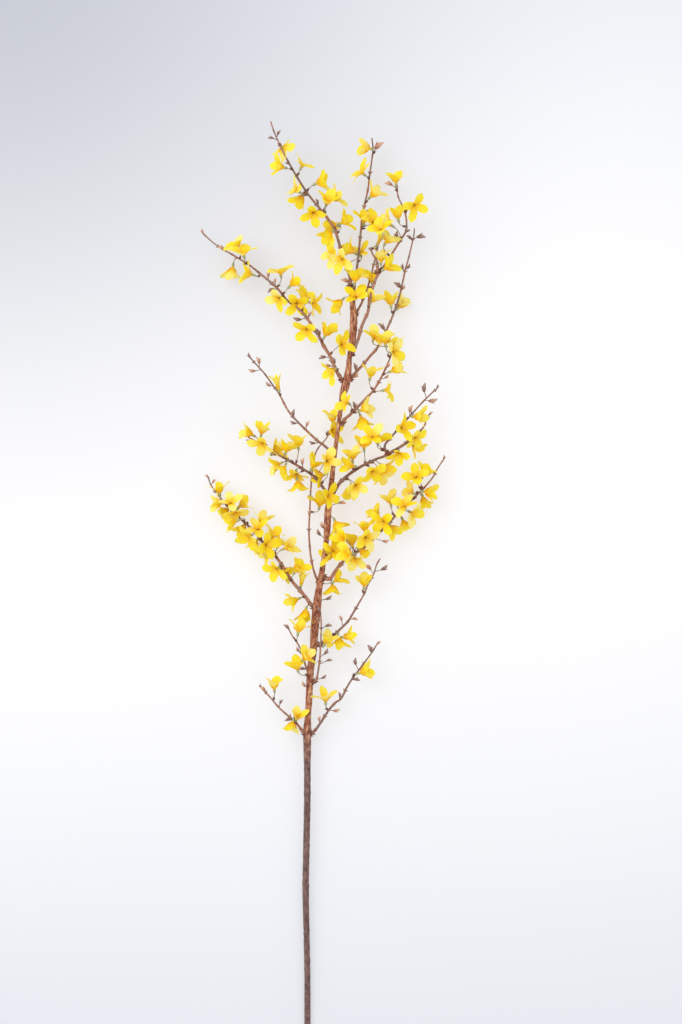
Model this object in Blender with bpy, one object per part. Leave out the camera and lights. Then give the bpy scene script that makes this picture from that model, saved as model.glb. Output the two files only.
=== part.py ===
"""A cut forsythia branch in flower, laid down on a surface with its cut end towards -Y.

The woody main stem rises slowly from a small flat spot at its cut end. Leafless sprays grow from it
to both sides, and each is one solid with its buds and four-petalled blooms. Lengths in the tables are
in millimetres. Places are (x, y, z) from the middle of the cut end, x to the right, y along the
branch and z above the surface.
"""

import math
import random

import bmesh
import bpy
import numpy
from mathutils import Matrix, Vector

MM = 0.001

# Where the middle of the branch's box lies, seen from the cut end
CENTRE_X = 19.25
CENTRE_Y = 550.63

# Wood
STEM_SIDES_STEP = 2
TWIG_SIDES_STEP = 1
TWIG_STEP = 24.0
TWIG_TIP_RADIUS = 0.8
LINE_STEP = 3.0
JOINT_GAP = 0.3

# Fusing: the finest corners kept apart, the step by which pieces are moved where faces coincide, and
# how often that is tried
WELD = 0.003
SAME_PLACE = 0.001
HAIR = 0.04
FUSE_TRIES = 8
SCRAP_FACES = 24

# Blooms: a thin stalk, a short tube and four petals
STALK_RADIUS = 0.6
CALYX_RADIUS = 1.3
THROAT_RADIUS = 2.0
TUBE_LENGTH = 6.0
PETAL_LENGTH = 17.5
PETAL_WIDTH = 10.0
PETAL_THICKNESS = 0.8
SHOULDER = 0.6
CURL = 20.0
RISE = 11.0
ROOT_SLIP = 3.0
ROOT_SPREAD = 0.2
STALK_OVERLAP = 2.0
LEAN_LIMITS = (-60, 85)
MIDDLE_AHEAD = 0.45
BLOOM_LIFT = 2.0
FOLDED_WIDTH = 0.45

# Buds: a thin stalk, then a spindle
BUD_STALK_RADIUS = 0.8
BUD_RADIUS = 1.35
BUD_LENGTH = 3.4
BUD_ROOT = 3.5

# Stalks and buds have fewer sides than the tube, whose four walls carry the petals
TUBE_SIDES = 4
THIN_SIDES = 3

# How far the petals lean from the bloom's axis, in degrees
OPEN = 66
HALF = 42
SHUT = 14

# Clearances that the placing rule keeps
BLOOM_GAP = 0.9
GROUND_GAP = 1.0
REACH = 60.0
WOOD_ROOM = 0.4
PETAL_ROOM = (3.0, 4.0, 2.6)
THROAT_ROOM = 2.4
BASE_ROOM = 1.8
STALK_ROOM = 1.0
LONG_STALK = 16.0

# What crossing a neighbour, an own bloom or the surface costs a bloom's place, and moving it
COSTS = dict(theirs=12, own=2.5, ground=40, lift=0.25, tilt=0.08, stalk=0.5)
LIFTS = (0, 5, -5, 10, -10, 15, -14, 20, 26)
TILTS = (0, 14, -14, 28, -26, 42)
ROLLS = (0, 30, 60)

BARK = (0.36, 0.17, 0.12)
PETAL_YELLOW = (0.95, 0.68, 0.02)

# x, y, z and radius of the main stem, with its swellings at the joints
STEM = (
    (0, 0, 3.3, 3.8), (0, 30, 3.4, 3.8), (0, 74, 5.4, 3.7), (-1, 127, 8, 3.7), (-2, 178, 10, 4.0),
    (-1, 236, 12, 4.0), (0, 290, 14, 4.1), (0, 331, 15, 4.2), (0, 357, 16, 4.8), (0, 373, 17, 4.8),
    (1, 391, 18, 3.7), (2, 407, 18, 4.1), (4, 445, 20, 4.3), (7, 466, 21, 4.4), (9, 494, 23, 4.9),
    (12, 523, 25, 5.3), (14, 541, 26, 4.2), (18, 566, 27, 3.4), (22, 593, 28, 3.0),
    (24, 612, 29, 4.0), (25, 634, 30, 4.2), (28, 659, 31, 3.4), (33, 703, 33, 2.8),
    (40, 757, 35, 2.7), (43, 776, 36, 4.2), (47, 791, 36, 5.0), (50, 808, 37, 3.6),
    (51, 822, 37, 3.1), (54, 839, 38, 4.1), (56, 862, 39, 4.6), (55, 882, 40, 3.6),
    (52, 906, 41, 2.6),
)

# Each spray: the runs of its wood, its base radius, its blooms as (x, y, way that the bloom turns in
# the plane of the branch, lean above that plane, how far the petals open) and its buds as (x, y, size)
SPRAYS = {
    "leader_spray_top_left": dict(
        runs=[[(52, 903, 41), (51, 919, 43), (43, 941, 46), (34, 971, 49), (22, 990, 51), (0, 1017, 53),
               (-23, 1055, 54), (-37, 1084, 55), (-43, 1101, 56)]],
        base=2.0,
        blooms=[(-29, 1069, 300, -42, OPEN), (-34, 1046, 172, 12, HALF), (-4, 1050, 62, 28, OPEN),
                (-15, 1019, 158, 24, OPEN), (-8, 1007, 245, -28, HALF), (18, 1030, 25, 12, HALF),
                (36, 1012, 32, 14, HALF), (24, 1005, 80, 35, HALF), (7, 990, 250, 62, OPEN),
                (48, 983, 22, 16, HALF), (30, 981, 160, -30, HALF), (24, 966, 215, 8, HALF),
                (43, 936, 240, 76, OPEN), (31, 944, 165, 50, OPEN), (50, 950, 150, 20, HALF),
                (58, 918, 84, 12, HALF)],
        buds=[(-43, 1082, 1.0), (-34, 1088, 1.0), (-23, 1052, 0.8), (-3, 1015, 1.3), (13, 1007, 0.9),
              (46, 914, 1.4), (58, 917, 1.3)],
    ),
    "top_centre_spray": dict(
        runs=[[(55, 896, 40), (58, 915, 34), (61, 938, 30), (65, 977, 27), (67, 996, 27), (73, 1023, 29),
               (75, 1039, 30), (79, 1069, 32), (78, 1085, 33)]],
        base=1.7,
        blooms=[(70, 1074, 158, 32, HALF), (64, 1044, 146, 26, OPEN), (81, 1020, 48, 22, HALF),
                (69, 990, 84, 30, HALF), (79, 981, 20, 58, OPEN), (64, 951, 100, 34, OPEN)],
        buds=[(85, 1077, 1.9), (73, 998, 0.8)],
    ),
    "top_right_spray": dict(
        runs=[[(53, 823, 37), (61, 842, 42), (66, 859, 46), (73, 875, 49), (75, 889, 50), (82, 913, 52),
               (92, 929, 52), (111, 959, 50), (118, 971, 49), (119, 984, 47), (116, 998, 46),
               (109, 1013, 46), (108, 1027, 46)],
              [(85, 919, 52), (83, 936, 55), (79, 942, 56), (75, 951, 57)]],
        base=2.1,
        blooms=[(107, 1036, 86, 12, HALF), (130, 1000, 318, 54, OPEN), (107, 992, 104, 14, HALF),
                (94, 980, 150, 20, HALF), (86, 970, 140, 58, OPEN), (97, 962, 60, 30, HALF),
                (88, 941, 92, 12, HALF), (99, 929, 28, 18, HALF), (80, 892, 60, -24, HALF)],
        buds=[(98, 1029, 1.4), (106, 966, 1.4), (121, 972, 0.8)],
    ),
    "hidden_top_spray": dict(
        runs=[[(56, 869, 39), (65, 886, 31), (70, 898, 27), (74, 910, 24), (78, 925, 21), (80, 934, 20),
               (86, 959, 20)]],
        base=1.5,
        blooms=[(77, 919, 100, 20, HALF), (88, 968, 70, 10, SHUT)],
        buds=[(66, 893, 0.8), (74, 897, 0.8)],
    ),
    "thin_right_spray": dict(
        runs=[[(50, 793, 36), (58, 803, 33), (67, 813, 30), (77, 825, 28), (84, 833, 27), (93, 850, 26),
               (103, 872, 27), (112, 899, 28), (118, 927, 29), (122, 941, 30), (128, 967, 31),
               (129, 977, 31)]],
        base=1.8,
        blooms=[(100, 892, 96, 10, HALF), (115, 889, 48, 12, HALF)],
        buds=[(137, 968, 1.6), (123, 967, 1.1), (114, 931, 1.0), (123, 931, 1.0), (110, 910, 1.6),
              (117, 906, 0.9), (59, 811, 1.3), (60, 799, 1.0)],
    ),
    "right_spray": dict(
        runs=[[(41, 739, 34), (45, 747, 36), (51, 752, 38), (59, 760, 41), (66, 767, 43), (80, 782, 46),
               (90, 799, 48), (96, 812, 49), (101, 825, 50), (102, 837, 50)]],
        base=2.0,
        blooms=[(80, 844, 75, 54, OPEN), (92, 842, 100, 22, HALF), (105, 838, 84, 18, HALF),
                (104, 825, 350, 58, OPEN), (108, 806, 18, 12, HALF), (77, 804, 78, 16, HALF),
                (98, 782, 8, 12, OPEN), (47, 767, 150, 55, OPEN), (71, 760, 22, 30, HALF),
                (67, 743, 290, 12, HALF)],
        buds=[(90, 858, 1.5), (96, 797, 0.9), (98, 811, 1.0), (58, 764, 1.3)],
    ),
    "upper_left_spray": dict(
        runs=[[(44, 792, 36), (36, 804, 38), (27, 824, 39), (20, 835, 39), (13, 849, 38), (-2, 871, 36),
               (-13, 882, 35), (-26, 892, 34), (-35, 904, 32), (-58, 924, 29), (-71, 934, 28),
               (-92, 947, 26), (-103, 953, 26), (-115, 962, 25), (-126, 972, 24)]],
        base=2.2,
        blooms=[(-87, 958, 122, 16, HALF), (-76, 947, 100, 34, OPEN), (-91, 925, 262, 4, HALF),
                (-73, 924, 160, 2, HALF), (-32, 925, 98, 26, OPEN), (-15, 913, 48, 12, HALF),
                (-35, 892, 200, 58, OPEN), (-13, 886, 270, 76, OPEN), (-4, 897, 82, 24, HALF),
                (8, 885, 340, 48, OPEN), (0, 853, 268, 66, OPEN), (25, 853, 62, 20, HALF),
                (42, 836, 20, 68, OPEN), (28, 803, 215, 40, HALF)],
        buds=[(-103, 955, 1.3), (-47, 922, 1.1), (-39, 914, 0.9), (-44, 903, 1.3), (-12, 866, 1.4),
              (3, 874, 1.1), (15, 852, 1.1), (18, 822, 1.3), (33, 818, 1.2), (24, 812, 1.2),
              (-127, 974, 0.9)],
    ),
    "bare_left_spray": dict(
        runs=[[(32, 704, 33), (29, 708, 35), (19, 717, 39), (13, 721, 41), (-1, 734, 44), (-13, 746, 45),
               (-23, 758, 45), (-33, 777, 44), (-41, 788, 43), (-51, 802, 42), (-61, 813, 41),
               (-68, 821, 40)]],
        base=1.6,
        blooms=[(-36, 792, 105, 14, SHUT)],
        buds=[(-57, 818, 1.3), (-66, 804, 1.2), (-47, 788, 1.1), (-17, 755, 1.2), (-17, 742, 1.1),
              (0, 742, 1.1), (6, 718, 1.1), (-70, 823, 1.0)],
    ),
    "left_spray": dict(
        runs=[[(27, 654, 31), (18, 667, 35), (8, 679, 37), (-7, 689, 37), (-19, 696, 36), (-29, 702, 34),
               (-44, 710, 31), (-61, 721, 28), (-71, 726, 26)]],
        base=1.9,
        blooms=[(-72, 732, 152, 16, HALF), (-54, 737, 82, 16, HALF), (-53, 717, 250, 60, OPEN),
                (-37, 711, 40, 40, HALF), (-22, 714, 64, 20, HALF), (-10, 721, 90, 12, HALF),
                (-39, 691, 205, 12, HALF), (-29, 684, 246, 14, HALF), (-13, 679, 270, 30, OPEN),
                (-10, 666, 280, 6, HALF), (8, 696, 72, 22, HALF), (24, 697, 30, 66, OPEN),
                (13, 678, 200, 40, HALF)],
        buds=[(-6, 697, 1.1), (-70, 721, 1.0)],
    ),
    "behind_stem_spray": dict(
        runs=[[(15, 548, 26), (9, 562, 23), (5, 578, 20), (3, 595, 17), (2, 614, 15), (3, 637, 14),
               (4, 659, 14), (6, 684, 14), (9, 703, 14), (13, 713, 14), (23, 725, 14), (29, 737, 15)]],
        base=1.3,
        blooms=[(31, 752, 88, 10, HALF), (31, 731, 340, 12, HALF), (16, 650, 80, 30, HALF)],
        buds=[(2, 636, 1.0)],
    ),
    "right_forked_spray": dict(
        runs=[[(28, 647, 31), (30, 654, 33), (35, 664, 37), (41, 673, 40), (53, 683, 43), (64, 690, 44),
               (82, 699, 45), (94, 704, 45), (93, 715, 44), (96, 720, 44), (102, 727, 44),
               (119, 746, 43), (137, 766, 42), (149, 778, 41), (156, 784, 40)],
              [(94, 704, 45), (102, 708, 43), (118, 718, 39), (126, 724, 37), (140, 738, 34),
               (143, 746, 33), (147, 754, 32)]],
        base=2.1,
        blooms=[(54, 706, 95, 18, HALF), (67, 718, 100, 24, HALF), (78, 725, 110, 60, OPEN),
                (90, 726, 60, 18, HALF), (114, 737, 20, 60, OPEN), (133, 749, 352, 30, HALF),
                (131, 724, 330, 52, OPEN), (110, 706, 285, 66, OPEN), (133, 713, 330, 14, HALF),
                (49, 691, 175, 24, HALF), (78, 683, 280, 60, OPEN), (91, 678, 296, 26, HALF),
                (98, 688, 330, -24, HALF), (59, 666, 300, 58, OPEN), (49, 659, 250, 12, HALF)],
        buds=[(139, 785, 1.6), (151, 768, 1.6), (123, 760, 1.3), (157, 786, 0.8), (148, 755, 0.9)],
    ),
    "big_right_spray": dict(
        runs=[[(19, 560, 27), (22, 556, 27), (28, 556, 28), (34, 565, 29), (45, 578, 29), (55, 585, 29),
               (72, 596, 28), (89, 613, 27), (108, 633, 25), (125, 650, 23), (138, 662, 22),
               (151, 677, 20), (157, 688, 19), (165, 700, 18)]],
        base=2.3,
        blooms=[(131, 679, 100, 62, OPEN), (143, 686, 62, 20, HALF), (121, 663, 148, 16, HALF),
                (148, 659, 350, 14, HALF), (143, 648, 296, 4, HALF), (100, 653, 96, 16, HALF),
                (81, 636, 132, 18, HALF), (91, 624, 210, 66, OPEN), (104, 613, 300, 8, HALF),
                (116, 644, 120, 60, OPEN), (127, 634, 330, 48, OPEN), (118, 619, 290, 8, HALF),
                (70, 620, 92, 16, HALF), (69, 607, 120, 55, OPEN), (54, 603, 96, 18, HALF),
                (43, 604, 160, 22, HALF), (48, 588, 170, 50, HALF), (58, 579, 280, 58, OPEN),
                (69, 586, 320, 14, HALF)],
        buds=[(109, 645, 0.9), (95, 600, 1.1), (66, 604, 0.9), (166, 702, 0.8)],
    ),
    "big_left_spray": dict(
        runs=[[(11, 520, 25), (5, 524, 26), (-2, 534, 27), (-10, 543, 27), (-19, 554, 27), (-31, 573, 26),
               (-43, 589, 25), (-53, 599, 24), (-65, 614, 23), (-72, 620, 22), (-84, 631, 21),
               (-94, 640, 20), (-107, 656, 18), (-116, 668, 17), (-120, 679, 16)]],
        base=2.3,
        blooms=[(-106, 666, 95, 20, HALF), (-110, 647, 178, 12, HALF), (-101, 635, 218, 2, HALF),
                (-92, 648, 100, 60, OPEN), (-77, 648, 50, 20, HALF), (-84, 634, 300, 70, OPEN),
                (-91, 622, 204, 14, HALF), (-79, 615, 240, 36, HALF), (-55, 629, 84, -16, HALF),
                (-60, 616, 120, 62, OPEN), (-70, 606, 210, 50, OPEN), (-66, 596, 228, 8, HALF),
                (-38, 611, 62, 20, HALF), (-48, 596, 330, 66, OPEN), (-32, 600, 60, 50, OPEN),
                (-20, 595, 22, 12, HALF), (-52, 585, 200, 12, HALF), (-37, 568, 210, 66, OPEN),
                (-24, 564, 340, 30, HALF), (-10, 571, 58, 16, HALF), (-4, 557, 70, 20, SHUT),
                (-18, 529, 200, 20, HALF), (-4, 512, 250, 10, HALF)],
        buds=[(-121, 680, 0.8), (-113, 674, 0.9)],
    ),
    "lower_right_spray": dict(
        runs=[[(10, 474, 21), (17, 478, 21), (28, 484, 22), (41, 496, 24), (49, 504, 25), (54, 512, 25),
               (61, 524, 26), (69, 538, 26), (73, 548, 26), (80, 561, 25), (84, 573, 24), (88, 580, 24)]],
        base=1.6,
        blooms=[(70, 554, 80, 20, HALF), (23, 485, 76, 34, HALF), (40, 479, 290, 30, HALF),
                (51, 485, 0, 12, HALF)],
        buds=[(74, 571, 1.4), (94, 568, 1.4), (41, 509, 1.0), (58, 508, 1.0)],
    ),
    "bud_twig_by_stem": dict(
        runs=[[(6, 430, 20), (11, 434, 25), (13, 443, 29), (15, 456, 32), (16, 470, 34), (17, 493, 36),
               (17, 505, 37), (16, 517, 38)]],
        base=1.4,
        blooms=[],
        buds=[(26, 501, 1.2), (24, 468, 1.2), (27, 459, 1.0), (21, 437, 1.0), (15, 520, 1.0),
              (13, 508, 0.8)],
    ),
    "lower_left_twig": dict(
        runs=[[(3, 438, 20), (-2, 451, 23), (-5, 463, 25), (-9, 473, 26), (-14, 482, 27), (-18, 487, 27),
               (-23, 497, 27)]],
        base=1.3,
        blooms=[(-10, 499, 84, 16, HALF), (-14, 453, 110, 24, HALF), (0, 463, 40, 50, HALF)],
        buds=[(-24, 499, 1.2), (-12, 470, 1.0), (-6, 448, 1.1)],
    ),
    "lowest_left_spray": dict(
        runs=[[(-1, 367, 17), (-6, 372, 18), (-14, 382, 19), (-23, 390, 20), (-34, 400, 21),
               (-45, 413, 21), (-51, 419, 21), (-56, 424, 20)]],
        base=1.7,
        blooms=[(-40, 430, 94, 18, HALF), (-18, 376, 262, 12, HALF), (-12, 391, 80, 40, HALF)],
        buds=[(-53, 424, 1.2), (-32, 408, 1.0), (-24, 386, 1.0), (-57, 426, 0.8)],
    ),
    "lowest_right_spray": dict(
        runs=[[(2, 366, 17), (10, 373, 19), (17, 383, 20), (26, 397, 21), (34, 406, 22), (41, 411, 22),
               (47, 423, 22), (55, 436, 22), (62, 445, 22), (71, 457, 22), (79, 468, 21), (85, 478, 20)]],
        base=1.7,
        blooms=[(22, 415, 92, 16, HALF), (71, 444, 14, 14, HALF)],
        buds=[(77, 472, 1.5), (57, 456, 1.3), (60, 435, 1.2), (40, 416, 1.0), (36, 396, 1.2),
              (14, 387, 1.0), (86, 479, 0.9)],
    ),
}

# What grows straight from the main stem
STEM_BLOOMS = (
    (36, 884, 224, 4, HALF), (60, 893, 60, 64, OPEN),
    (27, 655, 340, 56, OPEN), (36, 618, 290, 10, HALF), (24, 584, 170, 18, HALF),
    (33, 590, 30, 56, OPEN), (40, 556, 25, 14, HALF), (31, 541, 275, 14, HALF),
)
STEM_BUDS = (
    (-5, 428, 1.1), (17, 620, 1.2),
    (13, 611, 1.2), (27, 532, 1.2), (43, 648, 1.2), (42, 698, 1.2),
)

# The blooms whose lowest petal comes down to the surface, so that the branch lies steady
RESTING = {(-101, 635), (143, 648), (-91, 925), (115, 889)}


def smooth(points, step):
    """Points about a step apart on the Catmull-Rom curve through a list of points."""
    points = [Vector(p) for p in points]
    ends = [2 * points[0] - points[1]] + points + [2 * points[-1] - points[-2]]
    found = []
    for a, b, c, d in zip(ends, ends[1:], ends[2:], ends[3:]):
        parts = max(1, round((c - b).length / step))
        for i in range(parts):
            t = i / parts
            found.append(0.5 * (2 * b + (c - a) * t + (2 * a - 5 * b + 4 * c - d) * t ** 2
                                + (3 * b - a - 3 * c + d) * t ** 3))
    return found + [points[-1]]


def taper(count, base, tip):
    """Radii of a twig's points, thinning out along it."""
    return [base + (tip - base) * i / (count - 1) for i in range(count)]


def along(points, radii):
    """Points about LINE_STEP apart on the straight runs between a tube's points, with its radii there."""
    found = []
    for a, b, r, s in zip(points, points[1:], radii, radii[1:]):
        parts = max(1, round((b - a).length / LINE_STEP))
        found += [(a.lerp(b, i / parts), r + (s - r) * i / parts) for i in range(parts)]
    return found + [(points[-1], radii[-1])]


def frame_on(axis):
    """Two directions across an axis, at right angles to each other."""
    side = axis.cross(Vector((0, 0, 1)))
    if side.length < 0.1:
        side = axis.cross(Vector((0, 1, 0)))
    side.normalize()
    return side, axis.cross(side).normalized()


def direction(turn, lean):
    """The unit vector for a turn in the branch's plane and a lean above it, in degrees."""
    turn, lean = math.radians(turn), math.radians(lean)
    return Vector((math.cos(turn) * math.cos(lean), math.sin(turn) * math.cos(lean), math.sin(lean)))


def nearest(points, place):
    """The number of the point nearest to a place, seen from above."""
    return min(range(len(points)), key=lambda i: (points[i].xy - place.xy).length)


def petal_spines(bloom):
    """For each petal its stations from throat to tip, its direction across and its two tops."""
    side, other = frame_on(bloom["axis"])
    throat = bloom["base"] + bloom["axis"] * TUBE_LENGTH
    petals = []
    for k in range(4):
        angle = math.radians(bloom["roll"] + 90 * k + 45)
        out = side * math.cos(angle) + other * math.sin(angle)
        across = bloom["axis"].cross(out)
        length = bloom["lengths"][k]
        station = throat + out * THROAT_RADIUS
        stations, tops = [station], []
        for share, curl in ((SHOULDER, 0), (1 - SHOULDER, CURL)):
            lean = math.radians(bloom["opening"] + bloom["leans"][k] + curl)
            along = bloom["axis"] * math.cos(lean) + out * math.sin(lean)
            station = station + along * length * share
            stations.append(station)
            tops.append(along.cross(across))
        petals.append((stations, across, tops))
    return petals


def width_of(bloom):
    """A bloom's petal width: a closed bloom's petals are still folded narrow."""
    return bloom["width"] * (FOLDED_WIDTH if bloom["opening"] <= SHUT else 1.0)


def lowest(bloom):
    """Height of a bloom's lowest corner."""
    found = []
    for stations, across, tops in petal_spines(bloom):
        for station, top, width in zip(stations[1:], tops, (width_of(bloom), 0)):
            found.append(station.z - abs(across.z) * width / 2 - abs(top.z) * PETAL_THICKNESS / 2)
    return min(found + [bloom["base"].z - CALYX_RADIUS])


def room_of(bloom):
    """Balls that fill a bloom, as rows of x, y, z and radius."""
    balls = []
    for stations, across, tops in petal_spines(bloom):
        start, shoulder, tip = stations
        for place, radius in zip((start.lerp(shoulder, 0.5), shoulder, tip), PETAL_ROOM):
            balls.append((*place, radius))
    throat = bloom["base"] + bloom["axis"] * TUBE_LENGTH
    balls.append((*throat, THROAT_ROOM))
    balls.append((*bloom["base"], BASE_ROOM))
    balls.append((*bloom["root"].lerp(bloom["base"], 0.5), STALK_ROOM))
    return numpy.array(balls)


def pose(line, row, draws, lift, tilt, roll):
    """A bloom of the table on a twig's line, lifted, tilted and rolled from its usual place."""
    x, y, turn, lean, opening = row
    axis = direction(turn, max(LEAN_LIMITS[0], min(LEAN_LIMITS[1], lean + tilt)))
    ahead = MIDDLE_AHEAD * PETAL_LENGTH * math.cos(math.radians(opening))
    place = Vector((x, y, 0)) - axis * ahead
    near = nearest(line, place)
    place.z = line[near].z + RISE * math.sin(math.radians(lean)) + BLOOM_LIFT + lift
    base = place - axis * TUBE_LENGTH
    near = nearest(line, base)
    back = near
    while back > 1 and (line[back] - line[near]).length < ROOT_SLIP:
        back -= 1
    root = line[back] + Vector(draws["spread"])
    return dict(root=root, base=base, axis=axis, roll=draws["roll"] + roll, opening=opening,
                lengths=draws["lengths"], leans=draws["leans"], width=draws["width"], hidden=None)


def crowding(balls, others):
    """How deep balls lie in others, in all, with the usual gap between them."""
    if not len(others):
        return 0.0
    apart = numpy.linalg.norm(balls[:, None, :3] - others[None, :, :3], axis=2)
    deep = balls[:, None, 3] + others[None, :, 3] + BLOOM_GAP - apart
    return float(deep.clip(0).sum())


def place_blooms(lines, rows, seed=11):
    """Poses of all blooms. Each takes the lift, tilt and roll that cross its neighbours least."""
    draw = random.Random(seed)
    wood = {name: numpy.array([(*p, r + WOOD_ROOM) for p, r in line]) for name, line in lines.items()}
    order = [(name, row) for name in rows for row in rows[name]]
    placed = {}
    for name, row in order:
        size = draw.uniform(0.9, 1.08)
        draws = dict(roll=draw.uniform(0, 90), width=PETAL_WIDTH * size,
                     lengths=[PETAL_LENGTH * size * draw.uniform(0.9, 1.08) for _ in range(4)],
                     leans=[draw.uniform(-7, 9) for _ in range(4)],
                     spread=[draw.uniform(-ROOT_SPREAD, ROOT_SPREAD) for _ in range(3)])
        line = [p for p, r in lines[name]]
        best = None
        centre = numpy.array((row[0], row[1]))
        near = {}
        for other, balls in wood.items():
            close = numpy.linalg.norm(balls[:, :2] - centre, axis=1) < REACH
            near.setdefault(other == name, []).append(balls[close])
        theirs = numpy.concatenate(near[False] + [b for (n, _), (_, b) in placed.items() if n != name])
        own = [b for (n, _), (_, b) in placed.items() if n == name]
        own = numpy.concatenate(own) if own else numpy.zeros((0, 4))
        theirs = theirs[numpy.linalg.norm(theirs[:, :2] - centre, axis=1) < REACH]
        own = own[numpy.linalg.norm(own[:, :2] - centre, axis=1) < REACH]
        for lift in LIFTS:
            for tilt in TILTS:
                for roll in ROLLS:
                    bloom = pose(line, row, draws, lift, tilt, roll)
                    if (row[0], row[1]) in RESTING:
                        bloom["base"].z -= lowest(bloom)
                    balls = room_of(bloom)
                    cost = COSTS["theirs"] * crowding(balls, theirs) + COSTS["own"] * crowding(balls, own)
                    if (row[0], row[1]) not in RESTING:
                        cost += COSTS["ground"] * max(0, GROUND_GAP - lowest(bloom))
                    cost += COSTS["lift"] * abs(lift) + COSTS["tilt"] * abs(tilt)
                    stalk = (bloom["base"] - bloom["root"]).length
                    cost += COSTS["stalk"] * max(0, stalk - LONG_STALK)
                    if best is None or cost < best[0]:
                        best = (cost, bloom, balls)
        # The lowest petal of a half-open bloom, which the others cover from above, is left out
        if row[4] == HALF and (row[0], row[1]) not in RESTING:
            tips = [stations[-1].z for stations, across, tops in petal_spines(best[1])]
            best[1]["hidden"] = tips.index(min(tips))
        placed[(name, row)] = best[1:]
    poses = {name: [] for name in rows}
    for (name, row), (bloom, balls) in placed.items():
        poses[name].append(bloom)
    return poses


def material(name, colour, roughness):
    """A Principled material of one colour."""
    made = bpy.data.materials.new(name)
    made.use_nodes = True
    shader = made.node_tree.nodes["Principled BSDF"]
    shader.inputs["Base Color"].default_value = (*colour, 1)
    shader.inputs["Roughness"].default_value = roughness
    shader.inputs["Metallic"].default_value = 0
    return made


def add_object(name, mesh, collection):
    """A new object on a mesh, in a collection."""
    made = bpy.data.objects.new(name, mesh)
    collection.objects.link(made)
    return made


def world(place):
    """A place in the tables, in metres from the middle of the branch's box."""
    return Vector((place[0] - CENTRE_X, place[1] - CENTRE_Y, place[2])) * MM


def tube(name, points, radii, sides_step, collection):
    """A round tapering piece of wood, from a bevelled curve made into a mesh with welded caps."""
    curve = bpy.data.curves.new(name, "CURVE")
    curve.dimensions = "3D"
    curve.bevel_depth = MM
    curve.bevel_resolution = sides_step
    curve.use_fill_caps = True
    spline = curve.splines.new("POLY")
    spline.points.add(len(points) - 1)
    for point, place, radius in zip(spline.points, points, radii):
        point.co = (*world(place), 1)
        point.radius = radius
    guide = add_object(name + "_curve", curve, collection)
    bpy.context.view_layer.update()
    mesh = bpy.data.meshes.new_from_object(guide.evaluated_get(bpy.context.evaluated_depsgraph_get()))
    mesh.transform(guide.matrix_world)
    bpy.data.objects.remove(guide)
    shape = bmesh.new()
    shape.from_mesh(mesh)
    bmesh.ops.remove_doubles(shape, verts=shape.verts, dist=0.00001)
    bmesh.ops.recalc_face_normals(shape, faces=shape.faces)
    shape.to_mesh(mesh)
    shape.free()
    return add_object(name, mesh, collection)


def carry_on(shape, face, start, end, old_axis, new_axis, scale):
    """Extrudes an end face from one ring's middle to the next, turned and scaled on the way."""
    turn = old_axis.rotation_difference(new_axis).to_matrix()
    made = bmesh.ops.extrude_discrete_faces(shape, faces=[face])["faces"][0]
    for corner in made.verts:
        corner.co = end + turn @ (corner.co - start) * scale
    return made


def rings(shape, places, radii, sides, roll=0):
    """A straight-sided body through some places: a cone, then its end face carried on. Gives its end."""
    steps = [(b - a).normalized() for a, b in zip(places, places[1:])]
    cone = bmesh.ops.create_cone(shape, cap_ends=True, segments=sides, radius1=radii[0], radius2=radii[1],
                                 depth=2)["verts"]
    side, other = frame_on(steps[0])
    spin = Matrix.Rotation(math.radians(roll), 3, steps[0])
    turn = Matrix((spin @ side, spin @ other, steps[0])).transposed()
    low = [v for v in cone if v.co.z < 0]
    high = [v for v in cone if v.co.z > 0]
    for corner in low:
        corner.co = places[0] + turn @ Vector((corner.co.x, corner.co.y, 0))
    for corner in high:
        corner.co = places[1] + turn @ Vector((corner.co.x, corner.co.y, 0))
    end = next(f for f in high[0].link_faces if all(v in high for v in f.verts))
    axis = steps[0]
    for i in range(2, len(places)):
        end = carry_on(shape, end, places[i - 1], places[i], axis, steps[i - 1], radii[i] / radii[i - 1])
        axis = steps[i - 1]
    return end


def stalk_mesh(bloom):
    """A bloom's thin stalk, from inside the twig to inside the bloom's tube."""
    shape = bmesh.new()
    end = bloom["base"] + bloom["axis"] * STALK_OVERLAP
    rings(shape, [bloom["root"], end], [STALK_RADIUS, STALK_RADIUS], THIN_SIDES)
    return finished(shape)


def head_mesh(bloom):
    """A bloom's tube, with the four faces of the band at its mouth drawn out as petals."""
    shape = bmesh.new()
    axis, base = bloom["axis"], bloom["base"]
    throat = base + axis * TUBE_LENGTH
    band = throat - axis * PETAL_THICKNESS
    corner = THROAT_RADIUS * math.sqrt(2)
    end = rings(shape, [base, band, throat], [CALYX_RADIUS, corner, corner], TUBE_SIDES, bloom["roll"])
    mouth = set(end.verts)
    walls = [f for f in shape.faces if f is not end and sum(v in mouth for v in f.verts) == 2]
    for k, (stations, across, tops) in enumerate(petal_spines(bloom)):
        if k == bloom["hidden"]:
            continue
        out = stations[0] - throat
        face = max(walls, key=lambda f: (f.calc_center_median() - throat).dot(out))
        walls.remove(face)
        up = axis
        for station, top, width in zip(stations[1:], tops, (width_of(bloom), 0)):
            middle = face.calc_center_median()
            made = bmesh.ops.extrude_discrete_faces(shape, faces=[face])["faces"][0]
            levels = {1: [], -1: []}
            for corner in made.verts:
                way = 1 if (corner.co - middle).dot(across) > 0 else -1
                level = 1 if (corner.co - middle).dot(up) > 0 else -1
                corner.co = station + across * way * width / 2 + top * level * PETAL_THICKNESS / 2
                levels[level].append(corner)
            face, up = made, top
        for corners in levels.values():
            bmesh.ops.pointmerge(shape, verts=corners, merge_co=corners[0].co.copy())
    return finished(shape)


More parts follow.
